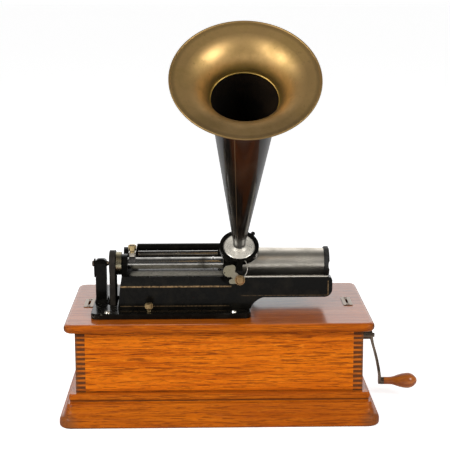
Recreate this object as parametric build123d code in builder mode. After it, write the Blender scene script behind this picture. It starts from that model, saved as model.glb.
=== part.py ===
from build123d import *
from math import acos, atan2, cos, degrees, pi, radians, sin, sqrt, tan
import os

# Spring-driven cylinder phonograph with an oak case and a fourteen inch horn.
# Millimetres. X runs to the crank side, Y to the back, Z up.
# The origin is the middle of the case's underside.

os.makedirs("parts", exist_ok=True)

# Clearances
running = 0.05
seat_gap = 0.3
belt_gap = 0.1

# Case
case_length = 385.6
case_depth = 207.0
case_top = 129.0
wall = 13.0
finger_count = 39
bottom_thickness = 12.0
plinth_height = 44.5
plinth_projection = 22.4
plinth_corner = 5.0
plinth_bead = 9.0
plinth_foot = 4.0

# Top board and what is let into it
top_length = 414.0
top_depth = 235.0
top_thickness = 12.0
top_corner = 12.0
top_nosing = 5.4
slot_from_middle = 181.5
slot_width = 3.2
slot_length = 22.0
plate_width = 13.0
plate_length = 44.0
plate_thickness = 1.0

# Hinges of the top board
hinge_spacing = 220.0
hinge_width = 54.0
hinge_leaf = 2.0
hinge_leaf_height = 22.0
hinge_barrel_radius = 3.2
hinge_pin_radius = 1.5

# Bed casting
flange_left = -173.0
flange_right = 43.0
flange_front = -88.0
flange_back = 80.0
flange_thickness = 7.5
flange_corner = 11.0
bed_front = -60.0
bed_back = 52.0
bed_left = -133.0
bed_left_foot = -137.5
bed_edge_height = 179.2
bed_slope_depth = 15.0
deck_height = 189.5
rail_height = 191.2
rail_left = 17.0
rail_rise = 3.0
bed_right = 154.8
cradle_underside = 163.4
cradle_corner_top = 5.0
cradle_corner_bottom = 11.0
cradle_curve = 17.0
cradle_radius = 32.0
casting_wall = 5.0
straight_edge_width = 4.0
straight_edge_height = 1.6

# Mandrel line, whose axis runs along X
mandrel_y = -12.0
mandrel_z = 201.5
mandrel_left = 25.0
mandrel_right = 152.5
mandrel_big_radius = 21.25
mandrel_small_radius = 20.0
mandrel_shell = 4.0
end_ring_width = 7.5
end_ring_radius = 22.2
left_upright_left = -134.0
left_upright_width = 8.0
left_boss_radius = 13.0
centre_bearing_left = 7.0
centre_bearing_width = 16.0
centre_bearing_radius = 15.0
screw_right = -10.0
screw_radius = 8.15
shaft_radius = 6.0
bush_wall = 1.6
pulley_left = -151.2
pulley_width = 9.4
pulley_radius = 17.4
pulley_crown = 0.5
collar_radius = 16.2

# Pivot post at the outer end of the mandrel line
post_left = -170.5
post_width = 15.0
post_depth = 16.0
pivot_radius = 4.0
lock_lever_length = 17.0
lock_lever_thickness = 2.0

# Back rod and the brackets that hold it
rod_y = 38.0
rod_z = 203.0
rod_radius = 4.7
rod_boss_radius = 11.0
rod_bracket_radius = 7.4
rod_bracket_left = 144.0
rod_bracket_width = 8.0

# Carriage
ring_x = 28.55
ring_y = -33.0
ring_z = 227.2
ring_tilt = 49.2
ring_radius = 27.15
ring_bore = 22.3
ring_thickness = 8.0
sleeve_radius = 9.0
sleeve_bush_wall = 1.5
right_sleeve_left = 0.0
right_sleeve_right = 38.0
left_sleeve_left = -125.0
left_sleeve_right = -114.0
bar_radius = 5.35
bar_rise = 10.5
arm_width = 20.0
foot_width = 8.0
foot_thickness = 5.6
nut_arm_thickness = 5.0
nut_length = 9.0
nut_width = 15.0
knob_radius = 5.4
knob_top = 228.0

# Reproducer
neck_radius = 6.0
neck_height = 17.0
diaphragm_radius = 17.5
diaphragm_thickness = 1.1
weight_length = 30.0
weight_width = 17.0
weight_thickness = 1.8
stylus_drop = 1.0

# Horn, whose axis leans to the front and is measured from the middle of the neck ring
neck_pivot = 13.0
neck_ring_width = 7.0
horn_tilt = 44.43
horn_start = -4.2
horn_sleeve_end = 2.0
cone_start_radius = 8.8
cone_end = 308.0
cone_end_radius = 41.6
horn_end = 345.8
bell_radius = 87.9
bell_waist_radius = 71.0
bell_waist = 341.0
horn_sheet = 0.8
bell_bead = 1.4

# Crank
crank_y = 0.0
crank_z = 92.0
crank_shaft_radius = 4.0
crank_junction = 80.0
crank_shoulder = 203.0
crank_hub = 12.0
crank_throw = 68.0
crank_arm_thickness = 3.4
crank_arm_width = 11.0
grip_start = 236.5
grip_length = 47.5
grip_radius = 10.9
grip_neck_radius = 5.3
grip_pin_radius = 2.6

# Motor frame
left_plate_x = -104.0
middle_plate_x = -36.0
right_plate_x = 30.0
motor_plate = 5.0
ear_thickness = 5.0
ear_length = 10.0
ear_reach = 64.0
pillar_radius = 4.0
pillar_places = [(-50.0, 60.0), (54.0, 112.0), (-60.0, 126.0)]

# Gears: teeth and modules of each meshing pair
winding_teeth = 12
barrel_teeth = 40
barrel_module = 1.75
main_teeth = 60
second_pinion_teeth = 12
main_module = 1.2
second_teeth = 50
pulley_pinion_teeth = 10
second_module = 1.1
governor_wheel_teeth = 44
governor_pinion_teeth = 10
governor_module = 1.1
backlash = 0.09

# Motor shafts
main_y = 27.2
pulley_shaft_y = mandrel_y
governor_angle = 10.0
motor_pulley_radius = 20.0
motor_shaft_radius = 3.0
arbor_radius = 5.0
barrel_radius = 31.0
barrel_left = -24.0
barrel_width = 42.0
barrel_gear_width = 6.0
barrel_shell = 2.0
spring_thickness = 1.0
spring_turns = 6

# Governor and speed control
governor_shaft_radius = 2.0
governor_disc_radius = 16.0
governor_disc_x = -80.0
governor_disc_width = 2.0
governor_weight_radius = 4.6
governor_spring_bow = 9.0
governor_collar_radius = 5.0
governor_far_collar_x = -50.0
speed_screw_x = -94.5
speed_screw_y = -77.0
speed_screw_radius = 5.2
speed_screw_height = 12.5
speed_shank_radius = 2.3
speed_screw_play = 1.2
lever_pivot_x = -84.0
lever_pivot_z = 112.0
lever_left_y = -50.0
lever_hub_width = 7.0
lever_pin_radius = 2.0
lever_thickness = 3.0

# Belt
belt_width = 8.4
belt_thickness = 1.3

# Values worked out from the sizes above
board_top = case_top + top_thickness
flange_top = board_top + flange_thickness
mandrel_axis = (mandrel_y, mandrel_z)
rod_axis = (rod_y, rod_z)
crank_axis = (crank_y, crank_z)
barrel_distance = barrel_module * (winding_teeth + barrel_teeth) / 2
main_distance = main_module * (main_teeth + second_pinion_teeth) / 2
second_distance = second_module * (second_teeth + pulley_pinion_teeth) / 2
governor_distance = governor_module * (governor_wheel_teeth + governor_pinion_teeth) / 2
main_z = crank_z - sqrt(barrel_distance**2 - (main_y - crank_y) ** 2)
main_axis = (main_y, main_z)
second_y = main_y - main_distance
second_axis = (second_y, main_z)
pulley_shaft_z = main_z + sqrt(second_distance**2 - (pulley_shaft_y - second_y) ** 2)
pulley_axis = (pulley_shaft_y, pulley_shaft_z)
governor_axis = (
    pulley_shaft_y - governor_distance * cos(radians(governor_angle)),
    pulley_shaft_z + governor_distance * sin(radians(governor_angle)),
)
hinge_y = case_depth / 2 + hinge_barrel_radius + 0.1
hinge_z = case_top - hinge_barrel_radius - 0.1
ring_plane = Plane(
    origin=(ring_x, ring_y, ring_z),
    x_dir=(1, 0, 0),
    z_dir=(0, -cos(radians(ring_tilt)), sin(radians(ring_tilt))),
)
horn_plane = Plane(
    origin=ring_plane.from_local_coords((0, 0, neck_pivot)),
    x_dir=(1, 0, 0),
    z_dir=(0, -cos(radians(horn_tilt)), sin(radians(horn_tilt))),
)


def shaft_plane(axis):
    """A plane along a shaft: its x runs with X and its y is the distance from the axis."""
    return Plane(origin=(0, *axis), x_dir=(1, 0, 0), z_dir=(0, -1, 0))


def disc(left, width, axis, radius, mode=Mode.ADD):
    """A plain disc, boss or hole round a shaft axis, from left to left + width."""
    with BuildSketch(Plane.YZ.offset(left)) as face:
        with Locations(axis):
            Circle(radius)
    extrude(face.sketch, amount=width, mode=mode)


def turned(outline, axis, mode=Mode.ADD):
    """A turned piece: its outline of (x, radius) points goes round a shaft axis."""
    with BuildSketch(shaft_plane(axis)) as half:
        Polygon(*outline)
    revolve(half.sketch, axis=Axis((0, *axis), (1, 0, 0)), mode=mode)


def slab(left, width, corners, mode=Mode.ADD):
    """A flat plate square to X with corners given as (y, z)."""
    with BuildSketch(Plane.YZ.offset(left)) as face:
        Polygon(*corners)
    extrude(face.sketch, amount=width, mode=mode)


def link(plane, thickness, circles, mode=Mode.ADD):
    """A flat link on a plane: the outline that wraps circles given as (centre, radius)."""
    with BuildSketch(plane) as shape:
        with BuildLine():
            for centre, radius in circles:
                CenterArc(centre, radius, 0, 360)
        make_hull()
    extrude(shape.sketch, amount=thickness, mode=mode)


def direction(start, end):
    """The angle in degrees from one shaft to another, with Y as zero and Z as a quarter turn."""
    return degrees(atan2(end[1] - start[1], end[0] - start[0]))


def flank_angle(radius, teeth, module):
    """Half the angle that a tooth takes up at a radius, in radians."""
    pitch_radius = module * teeth / 2
    base_radius = pitch_radius * cos(radians(20))
    pressure = acos(min(1.0, base_radius / radius))
    involute = tan(pressure) - pressure
    return pi / (2 * teeth) * (1 - backlash) + tan(radians(20)) - radians(20) - involute


def gear(left, width, axis, teeth, module, facing, gap=False):
    """A spur gear with a tooth, or a gap, on the line that points at facing degrees."""
    pitch_radius = module * teeth / 2
    radii = [pitch_radius - 1.2 * module, pitch_radius + 0.9 * module]
    if teeth < 20:
        radii.insert(1, pitch_radius)
    outline = []
    for tooth in range(teeth):
        middle = radians(facing) + (tooth + (0.5 if gap else 0)) * 2 * pi / teeth
        rising = [(r, middle - flank_angle(r, teeth, module)) for r in radii]
        falling = [(r, middle + flank_angle(r, teeth, module)) for r in reversed(radii)]
        outline += [(axis[0] + r * cos(a), axis[1] + r * sin(a)) for r, a in rising + falling]
    slab(left, width, outline)


# Front and rear walls, with the even fingers of the box joints

finger = case_top / finger_count


def finger_wall(plane, length, first):
    """A wall whose ends are cut away at every second finger, from finger number first."""
    with BuildSketch(plane) as outline:
        with Locations((0, case_top / 2)):
            Rectangle(length, case_top)
        for side in (-1, 1):
            for number in range(first, finger_count, 2):
                with Locations((side * (length - wall) / 2, (number + 0.5) * finger)):
                    Rectangle(wall, finger, mode=Mode.SUBTRACT)
    extrude(outline.sketch, amount=wall)


with BuildPart() as front_wall:
    finger_wall(Plane.XZ.offset(case_depth / 2 - wall), case_length, 1)
front_wall.part.label = "front_wall"
export_step(front_wall.part, "parts/front_wall.step")

with BuildPart() as rear_wall:
    finger_wall(Plane.XZ.offset(-case_depth / 2), case_length, 1)
rear_wall.part.label = "rear_wall"
export_step(rear_wall.part, "parts/rear_wall.step")

# Side walls, with the odd fingers, the right one bored for the crank

crank_bush_radius = crank_shaft_radius + 3.0

with BuildPart() as left_wall:
    finger_wall(Plane.YZ.offset(-case_length / 2), case_depth, 0)
left_wall.part.label = "left_wall"
export_step(left_wall.part, "parts/left_wall.step")

with BuildPart() as right_wall:
    finger_wall(Plane.YZ.offset(case_length / 2 - wall), case_depth, 0)
    disc(case_length / 2 - wall, wall, crank_axis, crank_bush_radius, Mode.SUBTRACT)
right_wall.part.label = "right_wall"
export_step(right_wall.part, "parts/right_wall.step")

with BuildPart() as bottom_board:
    with BuildSketch():
        Rectangle(case_length - 2 * wall, case_depth - 2 * wall)
    extrude(amount=bottom_thickness)
bottom_board.part.label = "bottom_board"
export_step(bottom_board.part, "parts/bottom_board.step")

# Plinth moulding: four mitred lengths whose corners turn about a point just outside the walls

bead_out = plinth_corner + 4.5
groove_out = plinth_corner + 3.0
lip_out = plinth_corner + 5.5
cove_out = plinth_corner + 7.5
bead_bottom = plinth_height - plinth_bead
groove_bottom = bead_bottom - 4.0
cove_top = groove_bottom - 3.5
cove_bottom = groove_bottom / 2 + 1.0
belly_height = 8.0
belly_out = (cove_out + plinth_projection) / 2


def plinth_length(quarter):
    """One length of the moulding, on the side of the case that quarter counts from the front."""
    angle = radians(90 * quarter - 90)
    outward = Vector(cos(angle), sin(angle), 0)
    along = Vector(-sin(angle), cos(angle), 0)
    run, reach = (case_length, case_depth) if quarter % 2 == 0 else (case_depth, case_length)
    face = outward * (reach / 2)
    with BuildPart() as moulding:
        with BuildSketch(Plane(origin=face, x_dir=outward, z_dir=-along)) as profile:
            with BuildLine():
                Polyline(
                    (bead_out - 2, plinth_height),
                    (0, plinth_height),
                    (0, 0),
                    (plinth_projection - plinth_foot, 0),
                )
                ThreePointArc(
                    (plinth_projection - plinth_foot, 0),
                    (plinth_projection - plinth_foot * 0.3, plinth_foot * 0.3),
                    (plinth_projection, plinth_foot),
                )
                Line((plinth_projection, plinth_foot), (plinth_projection, belly_height))
                ThreePointArc(
                    (plinth_projection, belly_height),
                    (belly_out + 3.0, cove_bottom - 2.6),
                    (belly_out, cove_bottom),
                )
                ThreePointArc(
                    (belly_out, cove_bottom),
                    (cove_out + 0.8, (cove_bottom + cove_top) / 2),
                    (cove_out, cove_top),
                )
                Polyline(
                    (cove_out, cove_top),
                    (lip_out, groove_bottom),
                    (groove_out, groove_bottom),
                    (groove_out, bead_bottom),
                )
                ThreePointArc(
                    (groove_out, bead_bottom),
                    (bead_out, bead_bottom + plinth_bead / 2),
                    (bead_out - 2, plinth_height),
                )
            make_face()
        extrude(amount=run / 2 + plinth_corner, both=True)
        with BuildSketch(Plane(origin=face, x_dir=along, z_dir=(0, 0, 1))):
            for side in (-1, 1):
                Polygon(
                    (side * run / 2, 0),
                    (side * (run / 2 + 2 * plinth_corner), 0),
                    (side * (run / 2 + 2 * plinth_corner), -plinth_corner),
                    (side * (run / 2 + plinth_corner), -plinth_corner),
                )
        extrude(amount=plinth_height, mode=Mode.SUBTRACT)
        for side in (-1, 1):
            centre = face + outward * plinth_corner + along * (side * (run / 2 + plinth_corner))
            with BuildSketch(Plane(origin=centre, x_dir=outward, z_dir=-along)):
                add(profile.sketch_local.moved(Location((-plinth_corner, 0, 0))))
                with Locations((-plinth_projection, plinth_height / 2)):
                    Rectangle(2 * plinth_projection, 2 * plinth_height, mode=Mode.SUBTRACT)
            revolve(axis=Axis(centre, (0, 0, side)), revolution_arc=45)
    return moulding.part


plinth_moulding = Compound(label="plinth_moulding", children=[plinth_length(q) for q in range(4)])
export_step(plinth_moulding, "parts/plinth_moulding.step")

# Flanged bush that carries the crank in the right wall

with BuildPart() as crank_bush:
    bush_face = case_length / 2
    disc(bush_face - wall, wall, crank_axis, crank_bush_radius)
    turned(
        [
            (bush_face, 0),
            (bush_face, crank_bush_radius + 5),
            (bush_face + 1.2, crank_bush_radius + 5),
            (bush_face + 2.4, crank_bush_radius + 3),
            (bush_face + 2.4, 0),
        ],
        crank_axis,
    )
    disc(bush_face - wall, wall + 3, crank_axis, crank_shaft_radius + running, Mode.SUBTRACT)
crank_bush.part.label = "crank_bush"
export_step(crank_bush.part, "parts/crank_bush.step")

# Hinges: each has a leaf on the rear wall, which holds the pin, and a leaf under the top board

hinge_axis = (hinge_y, hinge_z)
knuckle_width = hinge_width / 3
hinge_lefts = [side * hinge_spacing / 2 - hinge_width / 2 for side in (-1, 1)]
leaf_foot = case_depth / 2

with BuildPart() as case_hinges:
    for left in hinge_lefts:
        middle = left + knuckle_width + 0.2
        slab(
            left,
            hinge_width,
            [
                (leaf_foot, hinge_z - hinge_barrel_radius - 1 - hinge_leaf_height),
                (leaf_foot + hinge_leaf, hinge_z - hinge_barrel_radius - 1 - hinge_leaf_height),
                (leaf_foot + hinge_leaf, hinge_z - hinge_barrel_radius - 1),
                (leaf_foot, hinge_z - hinge_barrel_radius - 1),
            ],
        )
        slab(
            middle,
            knuckle_width - 0.4,
            [
                (leaf_foot, hinge_z - hinge_barrel_radius - 2),
                (leaf_foot + hinge_leaf, hinge_z - hinge_barrel_radius - 2),
                (leaf_foot + hinge_leaf, hinge_z),
                (leaf_foot, hinge_z),
            ],
        )
        disc(middle, knuckle_width - 0.4, hinge_axis, hinge_barrel_radius)
        disc(left, hinge_width, hinge_axis, hinge_pin_radius)
case_hinges.part.label = "case_hinges"
export_step(case_hinges.part, "parts/case_hinges.step")

with BuildPart() as top_hinges:
    for left in hinge_lefts:
        for knuckle_left in (left, left + 2 * knuckle_width):
            disc(knuckle_left, knuckle_width, hinge_axis, hinge_barrel_radius)
        slab(
            left,
            hinge_width,
            [
                (hinge_y, case_top - hinge_leaf),
                (top_depth / 2 - 2, case_top - hinge_leaf),
                (top_depth / 2 - 2, case_top),
                (hinge_y, case_top),
            ],
        )
        middle = left + knuckle_width
        disc(middle, knuckle_width, hinge_axis, hinge_barrel_radius + 0.1, Mode.SUBTRACT)
        disc(left, hinge_width, hinge_axis, hinge_pin_radius + running, Mode.SUBTRACT)
top_hinges.part.label = "top_hinges"
export_step(top_hinges.part, "parts/top_hinges.step")

# Top board, with the opening that the motor hangs in, the slots and the hole of the speed screw

opening_left = flange_left + 14
opening_right = flange_right - 5
opening_front = -72.0
opening_back = 72.0
screw_inset_x = 23.0
screw_inset_y = 7.0
bed_screw_places = [
    (x, y)
    for x in (flange_left + screw_inset_x, flange_right - screw_inset_x)
    for y in (flange_front + screw_inset_y, flange_back - screw_inset_y / 2)
]
bed_screw_radius = 2.2
bed_screw_length = 9.0

with BuildPart() as top_board:
    with BuildSketch(Plane.XY.offset(case_top)):
        RectangleRounded(top_length, top_depth, top_corner)
    extrude(amount=top_thickness)
    rims = top_board.faces().filter_by(Axis.Z).edges()
    fillet(rims, top_nosing)
    with BuildSketch(Plane.XY.offset(case_top)):
        with Locations(((opening_left + opening_right) / 2, (opening_front + opening_back) / 2)):
            RectangleRounded(opening_right - opening_left, opening_back - opening_front, 8)
        with Locations((-slot_from_middle, 0), (slot_from_middle, 0)):
            SlotOverall(slot_length, slot_width, rotation=90)
        with Locations((speed_screw_x, speed_screw_y)):
            Circle(speed_shank_radius + 1)
    extrude(amount=top_thickness, mode=Mode.SUBTRACT)
    with BuildSketch(Plane.XY.offset(board_top - bed_screw_length)):
        with Locations(*bed_screw_places):
            Circle(bed_screw_radius)
    extrude(amount=bed_screw_length, mode=Mode.SUBTRACT)
top_board.part.label = "top_board"
export_step(top_board.part, "parts/top_board.step")

with BuildPart() as slot_plates:
    with BuildSketch(Plane.XY.offset(board_top)):
        with Locations((-slot_from_middle, 0), (slot_from_middle, 0)):
            RectangleRounded(plate_width, plate_length, 2)
            SlotOverall(slot_length, slot_width, rotation=90, mode=Mode.SUBTRACT)
            with GridLocations(0, plate_length - 9, 1, 2):
                Circle(1.2, mode=Mode.SUBTRACT)
    extrude(amount=plate_thickness)
slot_plates.part.label = "slot_plates"
export_step(slot_plates.part, "parts/slot_plates.step")

# Bed casting: flange, hollow bed with its sloping front, cradle under the mandrel, bearings, brackets

bush_radius = shaft_radius + bush_wall
hollow_front = bed_front + casting_wall
hollow_back = bed_back - casting_wall
hollow_left = bed_left_foot + 2 * casting_wall
hollow_right = flange_right - casting_wall
belt_slot_left = pulley_left - 2.0
belt_slot_width = pulley_width + 4.0
bolt_radius = 2.5
bolt_depth = 5.5
ear_lefts = [left_plate_x + motor_plate, middle_plate_x + motor_plate, right_plate_x - ear_length]
bolt_places = [(left + ear_length / 2, side * ear_reach) for left in ear_lefts for side in (-1, 1)]

with BuildPart() as bed_casting:
    with BuildSketch(Plane.XY.offset(board_top)):
        with Locations(((flange_left + flange_right) / 2, (flange_front + flange_back) / 2)):
            RectangleRounded(flange_right - flange_left, flange_back - flange_front, flange_corner)
    extrude(amount=flange_thickness)
    chamfer(bed_casting.faces().sort_by(Axis.Z)[-1].edges(), 1.2)
    with BuildSketch(Plane.XZ.offset(-bed_front)):
        with BuildLine():
            Polyline(
                (flange_right, flange_top - 1),
                (bed_left_foot, flange_top - 1),
                (bed_left_foot, flange_top),
                (bed_left, deck_height),
                (rail_left, deck_height),
                (rail_left + rail_rise, rail_height),
                (bed_right - cradle_corner_top, rail_height),
            )
            RadiusArc(
                (bed_right - cradle_corner_top, rail_height),
                (bed_right, rail_height - cradle_corner_top),
                cradle_corner_top,
            )
            Line(
                (bed_right, rail_height - cradle_corner_top),
                (bed_right, cradle_underside + cradle_corner_bottom),
            )
            RadiusArc(
                (bed_right, cradle_underside + cradle_corner_bottom),
                (bed_right - cradle_corner_bottom, cradle_underside),
                cradle_corner_bottom,
            )
            Line(
                (bed_right - cradle_corner_bottom, cradle_underside),
                (flange_right + 1 + cradle_curve, cradle_underside),
            )
            ThreePointArc(
                (flange_right + 1 + cradle_curve, cradle_underside),
                (flange_right + 1 + cradle_curve * 0.36, flange_top + (cradle_underside - flange_top) * 0.62),
                (flange_right, flange_top - 1),
            )
        make_face()
    extrude(amount=bed_front - bed_back)
    slab(
        bed_left_foot,
        rail_left - bed_left_foot,
        [
            (bed_front, bed_edge_height),
            (bed_front, deck_height + 1),
            (bed_front + bed_slope_depth * 1.1, deck_height + 1),
            (bed_front + bed_slope_depth, deck_height),
        ],
        Mode.SUBTRACT,
    )
    disc(
        centre_bearing_left + centre_bearing_width,
        bed_right - centre_bearing_left,
        mandrel_axis,
        cradle_radius,
        Mode.SUBTRACT,
    )
    with BuildSketch(Plane.XY.offset(board_top)):
        with Locations(((hollow_left + hollow_right) / 2, (hollow_front + hollow_back) / 2)):
            RectangleRounded(hollow_right - hollow_left, hollow_back - hollow_front, 6)
    extrude(amount=cradle_underside - board_top, mode=Mode.SUBTRACT)
    with BuildSketch(Plane.XY.offset(cradle_underside)):
        hollow_middle_x = (hollow_left + centre_bearing_left) / 2
        hollow_middle_y = (hollow_front + bed_slope_depth / 2 + hollow_back) / 2
        with Locations((hollow_middle_x, hollow_middle_y)):
            RectangleRounded(
                centre_bearing_left - hollow_left,
                hollow_back - hollow_front - bed_slope_depth / 2,
                6,
            )
    extrude(amount=deck_height - casting_wall - cradle_underside, mode=Mode.SUBTRACT)
    disc(left_upright_left, left_upright_width, mandrel_axis, left_boss_radius)
    disc(left_upright_left, left_upright_width, rod_axis, rod_boss_radius)
    slab(
        left_upright_left,
        left_upright_width,
        [
            (mandrel_y - left_boss_radius, mandrel_z),
            (mandrel_y - left_boss_radius - 4, deck_height - 4),
            (bed_back, deck_height - 4),
            (rod_y + rod_boss_radius, rod_z),
        ],
    )
    disc(centre_bearing_left, centre_bearing_width, mandrel_axis, centre_bearing_radius)
    slab(
        centre_bearing_left,
        centre_bearing_width,
        [
            (mandrel_y - centre_bearing_radius, mandrel_z),
            (mandrel_y - centre_bearing_radius - 3, deck_height - 4),
            (mandrel_y + centre_bearing_radius + 3, deck_height - 4),
            (mandrel_y + centre_bearing_radius, mandrel_z),
        ],
    )
    disc(rod_bracket_left, rod_bracket_width, rod_axis, rod_bracket_radius)
    slab(
        rod_bracket_left,
        rod_bracket_width,
        [
            (rod_y - rod_bracket_radius, rod_z),
            (rod_y - rod_bracket_radius, rail_height - 6),
            (rod_y + rod_bracket_radius + 3, rail_height - 6),
            (rod_y + rod_bracket_radius, rod_z),
        ],
    )
    disc(left_upright_left, left_upright_width, mandrel_axis, bush_radius, Mode.SUBTRACT)
    disc(centre_bearing_left, centre_bearing_width, mandrel_axis, bush_radius + 1, Mode.SUBTRACT)
    rod_reach = rod_bracket_left + rod_bracket_width - left_upright_left
    disc(left_upright_left, rod_reach, rod_axis, rod_radius, Mode.SUBTRACT)
    with BuildSketch(Plane.XY.offset(board_top)):
        with Locations((belt_slot_left + belt_slot_width / 2, mandrel_y)):
            SlotOverall(2 * motor_pulley_radius + 16, belt_slot_width, rotation=90)
        with Locations((speed_screw_x, speed_screw_y)):
            Circle(speed_shank_radius + running)
    extrude(amount=flange_thickness, mode=Mode.SUBTRACT)
    with BuildSketch(Plane.XY.offset(board_top)):
        with Locations(*bolt_places):
            Circle(bolt_radius)
    extrude(amount=bolt_depth, mode=Mode.SUBTRACT)
    with BuildSketch(Plane.XY.offset(board_top)):
        with Locations(*bed_screw_places):
            Circle(bed_screw_radius)
    extrude(amount=flange_thickness, mode=Mode.SUBTRACT)
bed_casting.part.label = "bed_casting"
export_step(bed_casting.part, "parts/bed_casting.step")

with BuildPart() as straight_edge:
    edge_left = rail_left + rail_rise + 0.5
    edge_right = bed_right - cradle_corner_top - 1
    with BuildSketch(Plane.XY.offset(rail_height)):
        with Locations(((edge_left + edge_right) / 2, bed_front + 1 + straight_edge_width / 2)):
            Rectangle(edge_right - edge_left, straight_edge_width)
    extrude(amount=straight_edge_height)
straight_edge.part.label = "straight_edge"
export_step(straight_edge.part, "parts/straight_edge.step")

with BuildPart() as bed_screws:
    for x, y in bed_screw_places:
        with BuildSketch(Plane.XY.offset(board_top - bed_screw_length)):
            with Locations((x, y)):
                Circle(bed_screw_radius)
        extrude(amount=bed_screw_length + flange_thickness)
        with BuildSketch(Plane.XY.offset(flange_top)):
            with Locations((x, y)):
                Circle(2 * bed_screw_radius)
        extrude(amount=2.4, taper=25)
        with BuildSketch(Plane.XY.offset(flange_top + 1.4)):
            with Locations((x, y)):
                Rectangle(0.9, 5 * bed_screw_radius, rotation=x)
        extrude(amount=2, mode=Mode.SUBTRACT)
bed_screws.part.label = "bed_screws"
export_step(bed_screws.part, "parts/bed_screws.step")

with BuildPart() as back_rod:
    rod_length = rod_bracket_left + rod_bracket_width - left_upright_left
    disc(left_upright_left, rod_length, rod_axis, rod_radius)
    chamfer(back_rod.edges().filter_by(GeomType.CIRCLE), 0.6)
back_rod.part.label = "back_rod"
export_step(back_rod.part, "parts/back_rod.step")

with BuildPart() as bearing_bushes:
    disc(left_upright_left, left_upright_width, mandrel_axis, bush_radius)
    disc(centre_bearing_left, centre_bearing_width, mandrel_axis, bush_radius + 1)
    disc(left_upright_left, left_upright_width, mandrel_axis, shaft_radius + running, Mode.SUBTRACT)
    disc(
        centre_bearing_left,
        centre_bearing_width,
        mandrel_axis,
        shaft_radius + 1 + running,
        Mode.SUBTRACT,
    )
bearing_bushes.part.label = "bearing_bushes"
export_step(bearing_bushes.part, "parts/bearing_bushes.step")

# Mandrel line: one shaft with the feed screw, and what is fixed on it

shaft_left = pulley_left - 0.8
centre_hole = 2.0
screw_start = left_upright_left + left_upright_width + seat_gap
bearing_shoulder = centre_bearing_left - seat_gap
mandrel_hub = 30.0

with BuildPart() as feed_screw:
    turned(
        [
            (shaft_left + centre_hole, 0),
            (shaft_left, centre_hole),
            (shaft_left, shaft_radius),
            (screw_start, shaft_radius),
            (screw_start, screw_radius),
            (screw_right, screw_radius),
            (screw_right, shaft_radius + 1),
            (screw_right + 1.6, shaft_radius + 1),
            (screw_right + 1.6, screw_radius + 0.7),
            (screw_right + 4.4, screw_radius + 0.7),
            (screw_right + 4.4, shaft_radius + 1),
            (screw_right + 5.8, shaft_radius + 1),
            (screw_right + 5.8, screw_radius),
            (bearing_shoulder, screw_radius),
            (bearing_shoulder, shaft_radius + 1),
            (mandrel_left - 1, shaft_radius + 1),
            (mandrel_left - 1, shaft_radius),
            (mandrel_left + mandrel_hub + 3, shaft_radius),
            (mandrel_left + mandrel_hub + 3, 0),
        ],
        mandrel_axis,
    )
feed_screw.part.label = "feed_screw"
export_step(feed_screw.part, "parts/feed_screw.step")

with BuildPart() as mandrel:
    turned(
        [
            (mandrel_left, shaft_radius),
            (mandrel_left, mandrel_big_radius - 4),
            (mandrel_left + 2, mandrel_big_radius),
            (mandrel_right - 0.8, mandrel_small_radius),
            (mandrel_right, mandrel_small_radius - 0.8),
            (mandrel_right, mandrel_small_radius - mandrel_shell),
            (mandrel_left + 7, mandrel_big_radius - mandrel_shell),
            (mandrel_left + 7, shaft_radius + 4),
            (mandrel_left + mandrel_hub, shaft_radius + 4),
            (mandrel_left + mandrel_hub, shaft_radius),
        ],
        mandrel_axis,
    )
mandrel.part.label = "mandrel"
export_step(mandrel.part, "parts/mandrel.step")

end_ring_left = mandrel_right + 1 - end_ring_width

with BuildPart() as mandrel_end_ring:
    turned(
        [
            (end_ring_left, 0),
            (end_ring_left, end_ring_radius - 1),
            (end_ring_left + 1.2, end_ring_radius),
            (end_ring_left + end_ring_width - 1.2, end_ring_radius),
            (end_ring_left + end_ring_width, end_ring_radius - 1),
            (end_ring_left + end_ring_width, 0),
        ],
        mandrel_axis,
    )
    scallop = end_ring_radius / 2
    for plane, level in ((Plane.XZ, mandrel_z), (Plane.XY, mandrel_y)):
        with BuildSketch(plane) as hollows:
            with Locations((end_ring_left + end_ring_width + scallop - 1.6, level)):
                Circle(scallop)
        extrude(hollows.sketch, amount=2 * (mandrel_z + end_ring_radius), both=True, mode=Mode.SUBTRACT)
    taper = (mandrel_big_radius - mandrel_small_radius) / (mandrel_right - mandrel_left)
    bore = mandrel_small_radius + taper * end_ring_width + 0.03
    disc(end_ring_left, 2 * end_ring_width, mandrel_axis, bore, Mode.SUBTRACT)
mandrel_end_ring.part.label = "mandrel_end_ring"
export_step(mandrel_end_ring.part, "parts/mandrel_end_ring.step")


def crowned_pulley(axis, radius, bore):
    """A flat belt pulley, highest in the middle of its face, with a dished outer side."""
    turned(
        [
            (pulley_left, bore),
            (pulley_left, bore + 3),
            (pulley_left + 1.5, bore + 4.5),
            (pulley_left + 1.5, radius - 4),
            (pulley_left, radius - 3),
            (pulley_left, radius - pulley_crown),
            (pulley_left + pulley_width / 2, radius),
            (pulley_left + pulley_width, radius - pulley_crown),
            (pulley_left + pulley_width, bore),
        ],
        axis,
    )


with BuildPart() as mandrel_pulley:
    crowned_pulley(mandrel_axis, pulley_radius, shaft_radius)
mandrel_pulley.part.label = "mandrel_pulley"
export_step(mandrel_pulley.part, "parts/mandrel_pulley.step")

collar_left = pulley_left + pulley_width
collar_width = left_upright_left - seat_gap - collar_left
collar_ribs = 3

with BuildPart() as ribbed_collar:
    disc(collar_left, collar_width, mandrel_axis, collar_radius - 1.0)
    rib_pitch = collar_width / collar_ribs
    for rib in range(collar_ribs):
        disc(collar_left + (rib + 0.15) * rib_pitch, 0.7 * rib_pitch, mandrel_axis, collar_radius)
    disc(collar_left, collar_width, mandrel_axis, shaft_radius, Mode.SUBTRACT)
ribbed_collar.part.label = "ribbed_collar"
export_step(ribbed_collar.part, "parts/ribbed_collar.step")

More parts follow.
